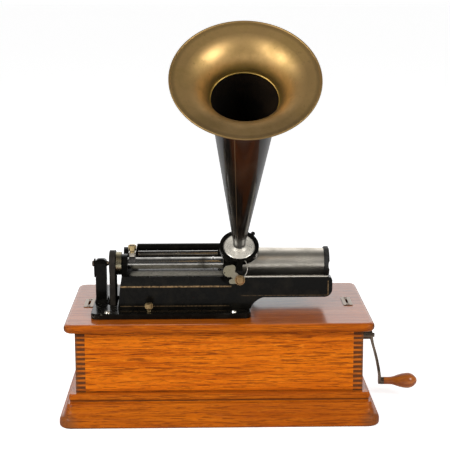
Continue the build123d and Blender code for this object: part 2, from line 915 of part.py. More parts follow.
# Pivot post, whose pointed screw carries the shaft's outer end, and the lever that locks it

post_right = post_left + post_width
post_top = mandrel_z + pivot_radius + 3.3

with BuildPart() as pivot_post:
    with BuildSketch(Plane.XZ.offset(-mandrel_y - post_depth / 2)) as front:
        with Locations(((post_left + post_right) / 2, (flange_top + post_top) / 2)):
            Rectangle(post_width, post_top - flange_top)
        fillet(front.vertices().group_by(Axis.Y)[-1], 5.5)
    extrude(front.sketch, amount=post_depth)
    with BuildSketch(Plane.YZ.offset(post_left)) as side:
        with Locations(mandrel_axis):
            Circle(post_depth / 2)
        with Locations((mandrel_y, (flange_top + mandrel_z) / 2)):
            Trapezoid(post_depth + 6, mandrel_z - flange_top, 86.5)
    extrude(side.sketch, amount=post_width, mode=Mode.INTERSECT)
    foot_right = belt_slot_left - 0.2
    with BuildSketch(Plane.XY.offset(flange_top)) as foot:
        with Locations(((post_left - 1 + foot_right) / 2, mandrel_y)):
            RectangleRounded(foot_right - post_left + 1, post_depth + 12, 1)
    extrude(foot.sketch, amount=4.5, taper=12)
    disc(post_left, post_width, mandrel_axis, pivot_radius, Mode.SUBTRACT)
pivot_post.part.label = "pivot_post"
export_step(pivot_post.part, "parts/pivot_post.step")

with BuildPart() as pivot_screw:
    turned(
        [
            (shaft_left + centre_hole - seat_gap / 2, 0),
            (shaft_left - seat_gap / 2, centre_hole),
            (shaft_left - 1, centre_hole + 0.8),
            (post_right, pivot_radius),
            (post_left - lock_lever_thickness - 2, pivot_radius),
            (post_left - lock_lever_thickness - 3, pivot_radius - 1),
            (post_left - lock_lever_thickness - 3, 0),
        ],
        mandrel_axis,
    )
pivot_screw.part.label = "pivot_screw"
export_step(pivot_screw.part, "parts/pivot_screw.step")

with BuildPart() as lock_lever:
    leaf_left = post_left - seat_gap - lock_lever_thickness
    leaf_end = (mandrel_y, mandrel_z - lock_lever_length)
    link(
        Plane.YZ.offset(leaf_left),
        lock_lever_thickness,
        [(mandrel_axis, pivot_radius + 3), (leaf_end, 2.6)],
    )
    disc(leaf_left, lock_lever_thickness, mandrel_axis, pivot_radius + running, Mode.SUBTRACT)
lock_lever.part.label = "lock_lever"
export_step(lock_lever.part, "parts/lock_lever.step")

# Drive belt: a flat closed band round both pulleys

belt_left = pulley_left + (pulley_width - belt_width) / 2

with BuildPart() as drive_belt:
    for layer, mode in ((belt_gap + belt_thickness, Mode.ADD), (belt_gap, Mode.SUBTRACT)):
        wrapped = [(mandrel_axis, pulley_radius + layer), (pulley_axis, motor_pulley_radius + layer)]
        link(Plane.YZ.offset(belt_left), belt_width, wrapped, mode)
drive_belt.part.label = "drive_belt"
export_step(drive_belt.part, "parts/drive_belt.step")

# Carriage: two bushes slide on the back rod, and the casting turns on them

bush_outer = rod_radius + sleeve_bush_wall
ring_sin = sin(radians(ring_tilt))
ring_cos = cos(radians(ring_tilt))
foot_bottom = rail_height + straight_edge_height + seat_gap
tab_back = bed_front - 0.4
tab_front = tab_back - foot_thickness
tab_bottom = foot_bottom - 7.5
pivot_height = foot_bottom - 3.0
lever_screw_radius = 2.5


def on_ring(out, height):
    """The (y, z) of a point of the ring's plane: out towards the back, height along its normal."""
    return (
        ring_y + out * ring_sin - height * ring_cos,
        ring_z + out * ring_cos + height * ring_sin,
    )


with BuildPart() as rod_bushes:
    for left, right in ((left_sleeve_left, left_sleeve_right), (right_sleeve_left, right_sleeve_right)):
        disc(left, right - left, rod_axis, bush_outer)
        disc(left, right - left, rod_axis, rod_radius + running, Mode.SUBTRACT)
rod_bushes.part.label = "rod_bushes"
export_step(rod_bushes.part, "parts/rod_bushes.step")

ring_ledge = 1.5
clamp_angle = 50.0
clamp_screw_radius = 1.5
clamp_ball_radius = 3.0
clamp_out = ring_plane.x_dir * cos(radians(clamp_angle)) + ring_plane.y_dir * sin(radians(clamp_angle))
clamp_plane = Plane(origin=ring_plane.from_local_coords((0, 0, 1)), x_dir=ring_plane.z_dir, z_dir=clamp_out)

with BuildPart() as carriage:
    disc(left_sleeve_left, left_sleeve_right - left_sleeve_left, rod_axis, sleeve_radius)
    disc(right_sleeve_left, right_sleeve_right - right_sleeve_left, rod_axis, sleeve_radius)
    disc(
        left_sleeve_right - 1,
        right_sleeve_left - left_sleeve_right + 6,
        (rod_y, rod_z + bar_rise),
        bar_radius,
    )
    slab(
        ring_x - arm_width / 2,
        arm_width,
        [
            on_ring(ring_radius - 2, ring_thickness / 2 - 1),
            (rod_y + sleeve_radius / 2, rod_z + sleeve_radius * 0.85),
            (rod_y - sleeve_radius * 0.85, rod_z + sleeve_radius / 2),
            on_ring(ring_radius - 2, -ring_thickness / 2),
        ],
    )
    slab(
        ring_x - foot_width / 2,
        foot_width,
        [
            on_ring(2 - ring_radius, -ring_thickness / 2),
            (bed_front + 9, foot_bottom + 6),
            (bed_front + 9, foot_bottom),
            (tab_back, foot_bottom),
            (tab_back, tab_bottom),
            (tab_front, tab_bottom),
            (tab_front, foot_bottom + 9),
            on_ring(2 - ring_radius, ring_thickness / 2),
        ],
    )
    with BuildSketch(ring_plane.offset(-ring_thickness / 2)) as hoop:
        Circle(ring_radius)
    extrude(hoop.sketch, amount=ring_thickness)
    with BuildSketch(ring_plane.offset(-ring_thickness / 2)) as opening:
        Circle(ring_bore - 2.3)
    extrude(opening.sketch, amount=ring_thickness, mode=Mode.SUBTRACT)
    with BuildSketch(ring_plane.offset(-ring_ledge)) as seat:
        Circle(ring_bore)
    extrude(seat.sketch, amount=ring_thickness, mode=Mode.SUBTRACT)
    for left, right in ((left_sleeve_left, left_sleeve_right), (right_sleeve_left, right_sleeve_right)):
        disc(left, right - left, rod_axis, bush_outer + running, Mode.SUBTRACT)
    with BuildSketch(Plane.XZ.offset(-tab_back)) as tapped:
        with Locations((ring_x, pivot_height)):
            Circle(lever_screw_radius)
    extrude(tapped.sketch, amount=foot_thickness, mode=Mode.SUBTRACT)
    with BuildSketch(clamp_plane.offset(ring_bore - 2)) as clamp_hole:
        Circle(clamp_screw_radius)
    extrude(clamp_hole.sketch, amount=ring_radius - ring_bore + 4, mode=Mode.SUBTRACT)
carriage.part.label = "carriage"
export_step(carriage.part, "parts/carriage.step")

# Half nut on its arm, with the screw that sets its height

nut_middle = (left_sleeve_left + left_sleeve_right) / 2
nut_arm_bottom = rod_z + sleeve_radius
nut_arm_top = nut_arm_bottom + nut_arm_thickness

with BuildPart() as half_nut_arm:
    slab(
        left_sleeve_left + 0.5,
        left_sleeve_right - left_sleeve_left - 1.5,
        [
            (mandrel_y - nut_width / 2 + 1.5, nut_arm_bottom),
            (rod_y + 5, nut_arm_bottom),
            (rod_y + 5, nut_arm_bottom + 2),
            (rod_y - 6, nut_arm_top),
            (mandrel_y - nut_width / 2 + 1.5, nut_arm_top),
        ],
    )
    fillet(half_nut_arm.edges().filter_by(Axis.Z), 3)
half_nut_arm.part.label = "half_nut_arm"
export_step(half_nut_arm.part, "parts/half_nut_arm.step")

with BuildPart() as half_nut:
    slab(
        nut_middle - nut_length / 2,
        nut_length,
        [
            (mandrel_y - nut_width / 2, mandrel_z + 2.5),
            (mandrel_y + nut_width / 2, mandrel_z + 2.5),
            (mandrel_y + nut_width / 2, nut_arm_bottom - 2),
            (mandrel_y + nut_width / 2 - 2, nut_arm_bottom),
            (mandrel_y - nut_width / 2 + 2, nut_arm_bottom),
            (mandrel_y - nut_width / 2, nut_arm_bottom - 2),
        ],
    )
    disc(
        nut_middle - nut_length / 2,
        nut_length,
        mandrel_axis,
        screw_radius + seat_gap / 2,
        Mode.SUBTRACT,
    )
half_nut.part.label = "half_nut"
export_step(half_nut.part, "parts/half_nut.step")

with BuildPart() as nut_set_screw:
    with BuildSketch(Plane(origin=(nut_middle, mandrel_y, 0), x_dir=(1, 0, 0), z_dir=(0, -1, 0))) as half:
        Polygon(
            (0, nut_arm_top),
            (knob_radius - 2, nut_arm_top),
            (knob_radius - 2, nut_arm_top + 1.5),
            (knob_radius, nut_arm_top + 3),
            (knob_radius, knob_top - 1.5),
            (knob_radius - 1.5, knob_top),
            (0, knob_top),
        )
    revolve(half.sketch, axis=Axis((nut_middle, mandrel_y, 0), (0, 0, 1)))
nut_set_screw.part.label = "nut_set_screw"
export_step(nut_set_screw.part, "parts/nut_set_screw.step")

# Reproducer in the ring: body with its neck, diaphragm, weight with the stylus, clamp screw


def on_axis(plane):
    """The plane of a lengthwise section through a tilted part: x across, y along its axis."""
    return Plane(origin=plane.origin, x_dir=plane.x_dir, z_dir=plane.x_dir.cross(plane.z_dir))


ring_axis = Axis(ring_plane.origin, ring_plane.z_dir)
horn_axis = Axis(horn_plane.origin, horn_plane.z_dir)
body_bottom = -2.6
flange_face = ring_bore - 0.4
hinge_out = 14.0
weight_top = body_bottom - 1.6
hinge_height = weight_top - weight_thickness / 2
hinge_pin = 0.8
ear_width = 2.0
ear_inset = weight_width / 2 + 0.2

with BuildPart() as reproducer_body:
    with BuildSketch(on_axis(ring_plane)) as section:
        Polygon(
            (0, body_bottom),
            (ring_bore - 2.6, body_bottom),
            (ring_bore - 2.6, -ring_ledge),
            (flange_face, -ring_ledge),
            (flange_face, 1.6),
            (flange_face - 1.6, 2.8),
            (neck_radius + 6, 4.8),
            (neck_radius + 1.6, 6.6),
            (neck_radius, 8.4),
            (neck_radius, neck_height),
            (0, neck_height),
        )
    revolve(section.sketch, axis=ring_axis)
    with BuildSketch(ring_plane.offset(body_bottom)) as recess:
        Circle(diaphragm_radius + 0.1)
    extrude(recess.sketch, amount=diaphragm_thickness + 0.4, mode=Mode.SUBTRACT)
    with BuildSketch(ring_plane.offset(body_bottom)) as passage:
        Circle(neck_radius - 2)
    extrude(passage.sketch, amount=neck_height - body_bottom, mode=Mode.SUBTRACT)
    for side in (-1, 1):
        with BuildSketch(ring_plane.offset(body_bottom)) as ear:
            with Locations((side * (ear_inset + ear_width / 2), hinge_out + 0.7)):
                Rectangle(ear_width, 3.4)
        extrude(ear.sketch, amount=-4.2)
    pin_plane = Plane(
        origin=ring_plane.from_local_coords((-ear_inset - ear_width, hinge_out, hinge_height)),
        x_dir=ring_plane.z_dir,
        z_dir=ring_plane.x_dir,
    )
    with BuildSketch(pin_plane) as pin_hole:
        Circle(hinge_pin + running)
    extrude(pin_hole.sketch, amount=2 * (ear_inset + ear_width), mode=Mode.SUBTRACT)
reproducer_body.part.label = "reproducer_body"
export_step(reproducer_body.part, "parts/reproducer_body.step")

with BuildPart() as diaphragm:
    with BuildSketch(ring_plane.offset(body_bottom + 0.4)) as sheet:
        Circle(diaphragm_radius)
    extrude(sheet.sketch, amount=diaphragm_thickness)
diaphragm.part.label = "diaphragm"
export_step(diaphragm.part, "parts/diaphragm.step")

with BuildPart() as floating_weight:
    with BuildSketch(ring_plane.offset(weight_top - weight_thickness)) as plate:
        with Locations((0, hinge_out - weight_length / 2 + 1.5)):
            RectangleRounded(weight_width, weight_length, 5)
    extrude(plate.sketch, amount=weight_thickness)
    with BuildSketch(pin_plane) as pin:
        Circle(hinge_pin)
    extrude(pin.sketch, amount=2 * (ear_inset + ear_width))
    with BuildSketch(ring_plane.offset(weight_top - weight_thickness)) as stylus:
        Circle(1.6)
    extrude(stylus.sketch, amount=-stylus_drop, taper=30)
floating_weight.part.label = "floating_weight"
export_step(floating_weight.part, "parts/floating_weight.step")

with BuildPart() as clamp_screw:
    with BuildSketch(clamp_plane.offset(flange_face + running)) as shank:
        Circle(clamp_screw_radius)
    extrude(shank.sketch, amount=ring_radius + clamp_ball_radius - flange_face)
    with Locations(clamp_plane.offset(ring_radius + clamp_ball_radius + 0.4)):
        Sphere(clamp_ball_radius)
clamp_screw.part.label = "clamp_screw"
export_step(clamp_screw.part, "parts/clamp_screw.step")

# Lever that lifts the carriage, on its shoulder screw in front of the rail, and the guide spring

lever_back = tab_front - 0.1
lift_lever_thickness = 2.0
lift_hub_radius = 5.0
leaf_centre = (ring_x - 14.6, pivot_height + 11.8)
leaf_radius = 8.0
cam_centre = (ring_x - 11.6, pivot_height - 2.6)
cam_radius = 3.2

with BuildPart() as lift_lever:
    lever_plane = Plane.XZ.offset(-lever_back)
    lever_hub = ((ring_x, pivot_height), lift_hub_radius)
    leaf_tip = (leaf_centre[0] + 4.6, leaf_centre[1] + 4.8)
    link(lever_plane, lift_lever_thickness, [(leaf_centre, leaf_radius), (leaf_tip, leaf_radius / 2)])
    link(lever_plane, lift_lever_thickness, [(leaf_centre, leaf_radius / 2), lever_hub])
    link(lever_plane, lift_lever_thickness, [(cam_centre, cam_radius), lever_hub])
    with BuildSketch(lever_plane) as holes:
        with Locations((ring_x, pivot_height)):
            Circle(lever_screw_radius + running)
        with Locations((leaf_centre[0] - 6, leaf_centre[1] - 2.2)):
            Circle(0.9)
    extrude(holes.sketch, amount=lift_lever_thickness, mode=Mode.SUBTRACT)
lift_lever.part.label = "lift_lever"
export_step(lift_lever.part, "parts/lift_lever.step")

lever_front = lever_back - lift_lever_thickness
screw_head_radius = 6.8
screw_head_ribs = 20

with BuildPart() as lever_screw:
    with BuildSketch(Plane.XZ.offset(-tab_back)) as shank:
        with Locations((ring_x, pivot_height)):
            Circle(lever_screw_radius)
    extrude(shank.sketch, amount=tab_back - lever_front + seat_gap)
    with BuildSketch(Plane.XZ.offset(seat_gap - lever_front)) as head:
        with Locations((ring_x, pivot_height)):
            Circle(screw_head_radius)
            with PolarLocations(screw_head_radius + 0.1, screw_head_ribs):
                Circle(0.5, mode=Mode.SUBTRACT)
    extrude(head.sketch, amount=3.2)
    with BuildSketch(Plane.XZ.offset(seat_gap - lever_front + 3.2)) as crown:
        with Locations((ring_x, pivot_height)):
            Circle(screw_head_radius - 1)
    extrude(crown.sketch, amount=1.2, taper=45)
lever_screw.part.label = "lever_screw"
export_step(lever_screw.part, "parts/lever_screw.step")

with BuildPart() as guide_spring:
    with BuildSketch(Plane.XZ.offset(-bed_front - 6)) as strip:
        with BuildLine():
            ThreePointArc(
                (ring_x + 6.8, foot_bottom + 21),
                (ring_x + 10.2, foot_bottom + 9),
                (ring_x + 6.6, foot_bottom),
            )
            Line((ring_x + 6.6, foot_bottom), (ring_x + 7.4, foot_bottom))
            ThreePointArc(
                (ring_x + 7.4, foot_bottom),
                (ring_x + 11.0, foot_bottom + 9),
                (ring_x + 7.6, foot_bottom + 21),
            )
            Line((ring_x + 7.6, foot_bottom + 21), (ring_x + 6.8, foot_bottom + 21))
        make_face()
    extrude(strip.sketch, amount=3)
    add(carriage.part, mode=Mode.SUBTRACT)
    with BuildSketch(ring_plane.offset(-ring_thickness / 2)) as inside:
        Circle(ring_radius)
    extrude(inside.sketch, amount=3 * ring_thickness, mode=Mode.SUBTRACT)
guide_spring.part.label = "guide_spring"
export_step(guide_spring.part, "parts/guide_spring.step")

# Horn: the cone's small end sits on a rubber ring round the neck, the bell is soldered on

cone_slope = (cone_end_radius - cone_start_radius) / (cone_end - horn_sleeve_end)
ball_radius = cone_start_radius - horn_sheet - running


def arc_direction(start, end, tangent):
    """The direction at the end of the arc that leaves start along tangent."""
    chord = (Vector(end) - Vector(start)).normalized()
    leaving = Vector(tangent).normalized()
    return chord * (2 * chord.dot(leaving)) - leaving


with BuildPart() as neck_ring:
    with BuildSketch(on_axis(ring_plane)) as section:
        with Locations((0, neck_pivot)):
            Circle(ball_radius)
        with Locations(((neck_radius + ball_radius) / 2, neck_pivot)):
            Rectangle(ball_radius - neck_radius, neck_ring_width, mode=Mode.INTERSECT)
    revolve(section.sketch, axis=ring_axis)
neck_ring.part.label = "neck_ring"
export_step(neck_ring.part, "parts/neck_ring.step")

with BuildPart() as horn_cone:
    with BuildSketch(on_axis(horn_plane)) as section:
        Polygon(
            (cone_start_radius - horn_sheet, horn_start),
            (cone_start_radius, horn_start),
            (cone_start_radius, horn_sleeve_end),
            (cone_end_radius, cone_end),
            (cone_end_radius - horn_sheet, cone_end),
            (cone_start_radius - horn_sheet, horn_sleeve_end),
        )
    revolve(section.sketch, axis=horn_axis)
horn_cone.part.label = "horn_cone"
export_step(horn_cone.part, "parts/horn_cone.step")

with BuildPart() as horn_bell:
    throat = (cone_end_radius, cone_end)
    waist = (bell_waist_radius, bell_waist)
    rim = (bell_radius - bell_bead, horn_end - bell_bead)
    rise = (cone_slope, 1)
    flare = arc_direction(throat, waist, rise)
    across = Vector(-flare.Y, flare.X).normalized() * horn_sheet
    inner_throat = (throat[0] - horn_sheet, throat[1])
    inner_waist = (waist[0] + across.X, waist[1] + across.Y)
    inner_rim = (rim[0], rim[1] + horn_sheet)
    with BuildSketch(on_axis(horn_plane)) as section:
        with BuildLine():
            TangentArc(throat, waist, tangent=rise)
            TangentArc(waist, rim, tangent=flare)
            Line(rim, inner_rim)
            TangentArc(inner_waist, inner_rim, tangent=flare)
            TangentArc(inner_throat, inner_waist, tangent=rise)
            Line(inner_throat, throat)
        make_face()
        with Locations(rim):
            Circle(bell_bead)
    revolve(section.sketch, axis=horn_axis)
horn_bell.part.label = "horn_bell"
export_step(horn_bell.part, "parts/horn_bell.step")

# Crank: its shaft meets the winding shaft face to face, because the crank stays with the case

arm_left = crank_shoulder + crank_hub
arm_end = crank_z - crank_throw
grip_axis = (crank_y, arm_end)
arm_top = (arm_left, crank_z + crank_arm_width)
arm_bend = (arm_left + 4.4, crank_z - 18)
arm_foot = (grip_start - 7.6, arm_end + 6)
bend_direction = arc_direction(arm_top, arm_bend, (0, -1))


def arm_edge(shift):
    """One side of the arm: two arcs and the straight foot that carries the grip."""
    top, bend, foot = ((x + shift, z) for x, z in (arm_top, arm_bend, arm_foot))
    TangentArc(top, bend, tangent=(0, -1))
    TangentArc(bend, foot, tangent=bend_direction)
    Line(foot, (foot[0], arm_end - 6))
    return top, (foot[0], arm_end - 6)


with BuildPart() as crank:
    with BuildSketch(Plane.XZ.offset(-crank_y)) as bow:
        with BuildLine():
            left_top, left_foot = arm_edge(0)
            right_top, right_foot = arm_edge(crank_arm_thickness)
            Line(left_top, right_top)
            Line(left_foot, right_foot)
        make_face()
    extrude(bow.sketch, amount=crank_arm_width / 2 + 2, both=True)
    arm_ends = [(crank_axis, crank_arm_width / 2 + 1.5), (grip_axis, crank_arm_width / 2 - 0.5)]
    link(Plane.YZ.offset(arm_left), grip_start - arm_left, arm_ends, Mode.INTERSECT)
    disc(
        crank_junction + seat_gap,
        arm_left - crank_junction - seat_gap,
        crank_axis,
        crank_shaft_radius,
    )
    hub_right = arm_left + crank_arm_thickness / 2
    disc(crank_shoulder, hub_right - crank_shoulder, crank_axis, crank_shaft_radius + 2)
    disc(arm_left + 1, crank_arm_thickness + 2.5, crank_axis, crank_shaft_radius - 1)
    disc(grip_start - 6, grip_length - 6, grip_axis, grip_pin_radius)
    disc(grip_start - 4.3, 4, grip_axis, grip_neck_radius)
crank.part.label = "crank"
export_step(crank.part, "parts/crank.step")

with BuildPart() as crank_grip:
    grip_end = grip_start + grip_length
    neck_end = (grip_start + 0.14 * grip_length, grip_neck_radius)
    swell = (grip_start + 0.36 * grip_length, 0.67 * grip_radius)
    widest = (grip_start + 0.72 * grip_length, grip_radius)
    nose_radius = 0.74 * grip_radius
    nose_corner = (grip_end - (1 - cos(radians(50))) * nose_radius, sin(radians(50)) * nose_radius)
    nose_middle = (grip_end - (1 - cos(radians(25))) * nose_radius, sin(radians(25)) * nose_radius)
    with BuildSketch(shaft_plane(grip_axis)) as half:
        with BuildLine():
            Polyline((grip_end, 0), (grip_start, 0), (grip_start, grip_neck_radius), neck_end)
            TangentArc(neck_end, swell, tangent=(1, 0))
            TangentArc(swell, widest, tangent=arc_direction(neck_end, swell, (1, 0)))
            TangentArc(widest, nose_corner, tangent=(1, 0))
            ThreePointArc(nose_corner, nose_middle, (grip_end, 0))
        make_face()
    revolve(half.sketch, axis=Axis((0, *grip_axis), (1, 0, 0)))
    disc(grip_start, grip_length - 11.5, grip_axis, grip_pin_radius + running, Mode.SUBTRACT)
crank_grip.part.label = "crank_grip"
export_step(crank_grip.part, "parts/crank_grip.step")

# Motor shafts with their gears

frame_left = left_plate_x + 0.5
frame_right = right_plate_x + motor_plate - 0.5
middle_right = middle_plate_x + motor_plate - 0.5
gear_left = barrel_left + barrel_width
wheel_left = middle_plate_x - 24
wheel_width = 6.0
pinion_spare = 1.0

with BuildPart() as winding_shaft:
    disc(
        middle_plate_x + 0.5,
        crank_junction - middle_plate_x - 0.5,
        crank_axis,
        crank_shaft_radius,
    )
    gear(
        gear_left - pinion_spare,
        barrel_gear_width + 2 * pinion_spare,
        crank_axis,
        winding_teeth,
        barrel_module,
        direction(crank_axis, main_axis),
    )
winding_shaft.part.label = "winding_shaft"
export_step(winding_shaft.part, "parts/winding_shaft.step")

with BuildPart() as spring_barrel:
    disc(barrel_left, barrel_width, main_axis, barrel_radius)
    gear(
        gear_left,
        barrel_gear_width,
        main_axis,
        barrel_teeth,
        barrel_module,
        direction(main_axis, crank_axis),
        gap=True,
    )
    disc(
        barrel_left + barrel_shell,
        barrel_width - 2 * barrel_shell,
        main_axis,
        barrel_radius - barrel_shell,
        Mode.SUBTRACT,
    )
    disc(barrel_left, barrel_width + barrel_gear_width, main_axis, arbor_radius + running, Mode.SUBTRACT)
spring_barrel.part.label = "spring_barrel"
export_step(spring_barrel.part, "parts/spring_barrel.step")

drum_radius = arbor_radius + 2.0
drum_left = barrel_left + barrel_shell + seat_gap
drum_width = barrel_width - 2 * barrel_shell - 2 * seat_gap

with BuildPart() as main_arbor:
    disc(frame_left, frame_right - frame_left, main_axis, arbor_radius)
    disc(drum_left, drum_width, main_axis, drum_radius)
main_arbor.part.label = "main_arbor"
export_step(main_arbor.part, "parts/main_arbor.step")

half_turns = 2 * spring_turns
turn_step = (barrel_radius - barrel_shell - spring_thickness - drum_radius) / half_turns

with BuildPart() as mainspring:
    with BuildSketch(Plane.YZ.offset(drum_left)) as coil:
        with BuildLine():
            for offset in (0, spring_thickness):
                for turn in range(half_turns):
                    side = 1 if turn % 2 == 0 else -1
                    near = drum_radius + turn * turn_step + offset
                    far = near + turn_step
                    ThreePointArc(
                        (main_y + side * near, main_z),
                        (main_y + side * (near - far) / 2, main_z + side * (near + far) / 2),
                        (main_y - side * far, main_z),
                    )
            outer = barrel_radius - barrel_shell
            Line((main_y + drum_radius, main_z), (main_y + drum_radius + spring_thickness, main_z))
            Line((main_y + outer - spring_thickness, main_z), (main_y + outer, main_z))
        make_face()
    extrude(coil.sketch, amount=drum_width)
mainspring.part.label = "mainspring"
export_step(mainspring.part, "parts/mainspring.step")

with BuildPart() as main_wheel:
    gear(wheel_left, wheel_width, main_axis, main_teeth, main_module, direction(main_axis, second_axis))
    disc(wheel_left - 4, 4, main_axis, arbor_radius + 5)
    with BuildSketch(Plane.YZ.offset(wheel_left)) as holes:
        with Locations(main_axis):
            with PolarLocations(main_module * main_teeth * 0.3, 5):
                Circle(7)
    extrude(holes.sketch, amount=wheel_width, mode=Mode.SUBTRACT)
    disc(wheel_left - 4, wheel_width + 4, main_axis, arbor_radius, Mode.SUBTRACT)
main_wheel.part.label = "main_wheel"
export_step(main_wheel.part, "parts/main_wheel.step")

second_wheel_left = middle_plate_x - 6
second_wheel_width = 4.0

with BuildPart() as second_shaft:
    disc(frame_left, middle_right - frame_left, second_axis, motor_shaft_radius)
    gear(
        wheel_left - pinion_spare,
        wheel_width + 2 * pinion_spare,
        second_axis,
        second_pinion_teeth,
        main_module,
        direction(second_axis, main_axis),
        gap=True,
    )
    gear(
        second_wheel_left,
        second_wheel_width,
        second_axis,
        second_teeth,
        second_module,
        direction(second_axis, pulley_axis),
    )
second_shaft.part.label = "second_shaft"
export_step(second_shaft.part, "parts/second_shaft.step")

governor_wheel_left = left_plate_x + 11
governor_wheel_width = 4.0

with BuildPart() as pulley_shaft:
    pulley_shaft_left = pulley_left - 1
    disc(pulley_shaft_left, middle_right - pulley_shaft_left, pulley_axis, motor_shaft_radius)
    gear(
        second_wheel_left - pinion_spare,
        second_wheel_width + 2 * pinion_spare,
        pulley_axis,
        pulley_pinion_teeth,
        second_module,
        direction(pulley_axis, second_axis),
        gap=True,
    )
    gear(
        governor_wheel_left,
        governor_wheel_width,
        pulley_axis,
        governor_wheel_teeth,
        governor_module,
        direction(pulley_axis, governor_axis),
    )
pulley_shaft.part.label = "pulley_shaft"
export_step(pulley_shaft.part, "parts/pulley_shaft.step")

with BuildPart() as motor_pulley:
    crowned_pulley(pulley_axis, motor_pulley_radius, motor_shaft_radius)
motor_pulley.part.label = "motor_pulley"
export_step(motor_pulley.part, "parts/motor_pulley.step")

# Governor: weights on leaf springs fly out and draw the disc towards the far collar

spring_grip = 4.0
spring_leaf = 0.5
collar_end = governor_disc_x + governor_disc_width + spring_grip
weight_x = (collar_end + governor_far_collar_x) / 2
weight_plane_radius = governor_spring_bow + spring_leaf

with BuildPart() as governor_shaft:
    disc(frame_left, middle_right - frame_left, governor_axis, governor_shaft_radius)
    gear(
        governor_wheel_left - pinion_spare,
        governor_wheel_width + 2 * pinion_spare,
        governor_axis,
        governor_pinion_teeth,
        governor_module,
        direction(governor_axis, pulley_axis),
        gap=True,
    )
    disc(governor_far_collar_x, spring_grip, governor_axis, governor_collar_radius)
governor_shaft.part.label = "governor_shaft"
export_step(governor_shaft.part, "parts/governor_shaft.step")

with BuildPart() as governor_disc:
    disc(governor_disc_x, governor_disc_width, governor_axis, governor_disc_radius)
    disc(governor_disc_x, collar_end - governor_disc_x, governor_axis, governor_collar_radius)
    disc(
        governor_disc_x,
        collar_end - governor_disc_x,
        governor_axis,
        governor_shaft_radius + running,
        Mode.SUBTRACT,
    )
governor_disc.part.label = "governor_disc"
export_step(governor_disc.part, "parts/governor_disc.step")


def governor_section(angle):
    """The plane through the governor's axis and one weight: x along the shaft, y outwards."""
    across = (0, -sin(radians(angle)), cos(radians(angle)))
    return Plane(origin=(0, *governor_axis), x_dir=(1, 0, 0), z_dir=across)


with BuildPart() as governor_springs:
    for angle in (30, 150, 270):
        with BuildSketch(governor_section(angle)) as leaf:
            with BuildLine():
                for lift in (0, spring_leaf):
                    ThreePointArc(
                        (collar_end, governor_collar_radius + lift),
                        (weight_x, governor_spring_bow + lift),
                        (governor_far_collar_x, governor_collar_radius + lift),
                    )
                Polyline(
                    (collar_end, governor_collar_radius),
                    (collar_end - spring_grip, governor_collar_radius),
                    (collar_end - spring_grip, governor_collar_radius + spring_leaf),
                    (collar_end, governor_collar_radius + spring_leaf),
                )
                Polyline(
                    (governor_far_collar_x, governor_collar_radius),
                    (governor_far_collar_x + spring_grip, governor_collar_radius),
                    (governor_far_collar_x + spring_grip, governor_collar_radius + spring_leaf),
                    (governor_far_collar_x, governor_collar_radius + spring_leaf),
                )
            make_face()
        extrude(leaf.sketch, amount=2, both=True)
governor_springs.part.label = "governor_springs"
export_step(governor_springs.part, "parts/governor_springs.step")

with BuildPart() as governor_weights:
    for angle in (30, 150, 270):
        outward = governor_section(angle).y_dir
        seat = Vector(weight_x, *governor_axis) + outward * weight_plane_radius
        with BuildSketch(governor_section(angle)) as half:
            with Locations((weight_x, weight_plane_radius + 0.85 * governor_weight_radius)):
                Circle(governor_weight_radius)
            outer_half = (weight_x + governor_weight_radius, weight_plane_radius + 2 * governor_weight_radius)
            with Locations(outer_half):
                Rectangle(2 * governor_weight_radius, 4 * governor_weight_radius, mode=Mode.INTERSECT)
        revolve(half.sketch, axis=Axis(seat, outward))
governor_weights.part.label = "governor_weights"
export_step(governor_weights.part, "parts/governor_weights.step")

# Friction lever: its pad bears on the disc, and the speed screw tips it

lever_hub_radius = 4.5
screw_arm_top = lever_pivot_z + lever_thickness / 2
pad_thickness = 2.6
pad_left = governor_disc_x - seat_gap - pad_thickness
lever_front_y = lever_left_y - lever_hub_width

with BuildPart() as friction_lever:
    with BuildSketch(Plane.XZ.offset(-lever_left_y)) as hub:
        with Locations((lever_pivot_x, lever_pivot_z)):
            Circle(lever_hub_radius)
    extrude(hub.sketch, amount=lever_hub_width)
    with BuildSketch(Plane.XZ.offset(1 - lever_left_y)) as arm:
        Polygon(
            (pad_left - lever_thickness, lever_pivot_z),
            (pad_left, lever_pivot_z),
            (pad_left, governor_axis[1] - 4),
            (pad_left - lever_thickness, governor_axis[1] - 4),
        )
    extrude(arm.sketch, amount=lever_hub_width - 1)
    with BuildSketch(Plane.YZ.offset(pad_left)) as pad:
        with Locations((lever_left_y - lever_hub_width / 2 - 0.5, governor_axis[1])):
            RectangleRounded(5, 7, 1)
    extrude(pad.sketch, amount=pad_thickness)
    link(
        Plane.XY.offset(screw_arm_top - lever_thickness),
        lever_thickness,
        [((speed_screw_x, speed_screw_y), 4), ((lever_pivot_x - 1, lever_front_y + 3), 2.9)],
    )
    with BuildSketch(Plane.XZ.offset(-lever_left_y)) as bore:
        with Locations((lever_pivot_x, lever_pivot_z)):
            Circle(lever_pin_radius + running)
    extrude(bore.sketch, amount=lever_hub_width + 3, mode=Mode.SUBTRACT)
friction_lever.part.label = "friction_lever"
export_step(friction_lever.part, "parts/friction_lever.step")

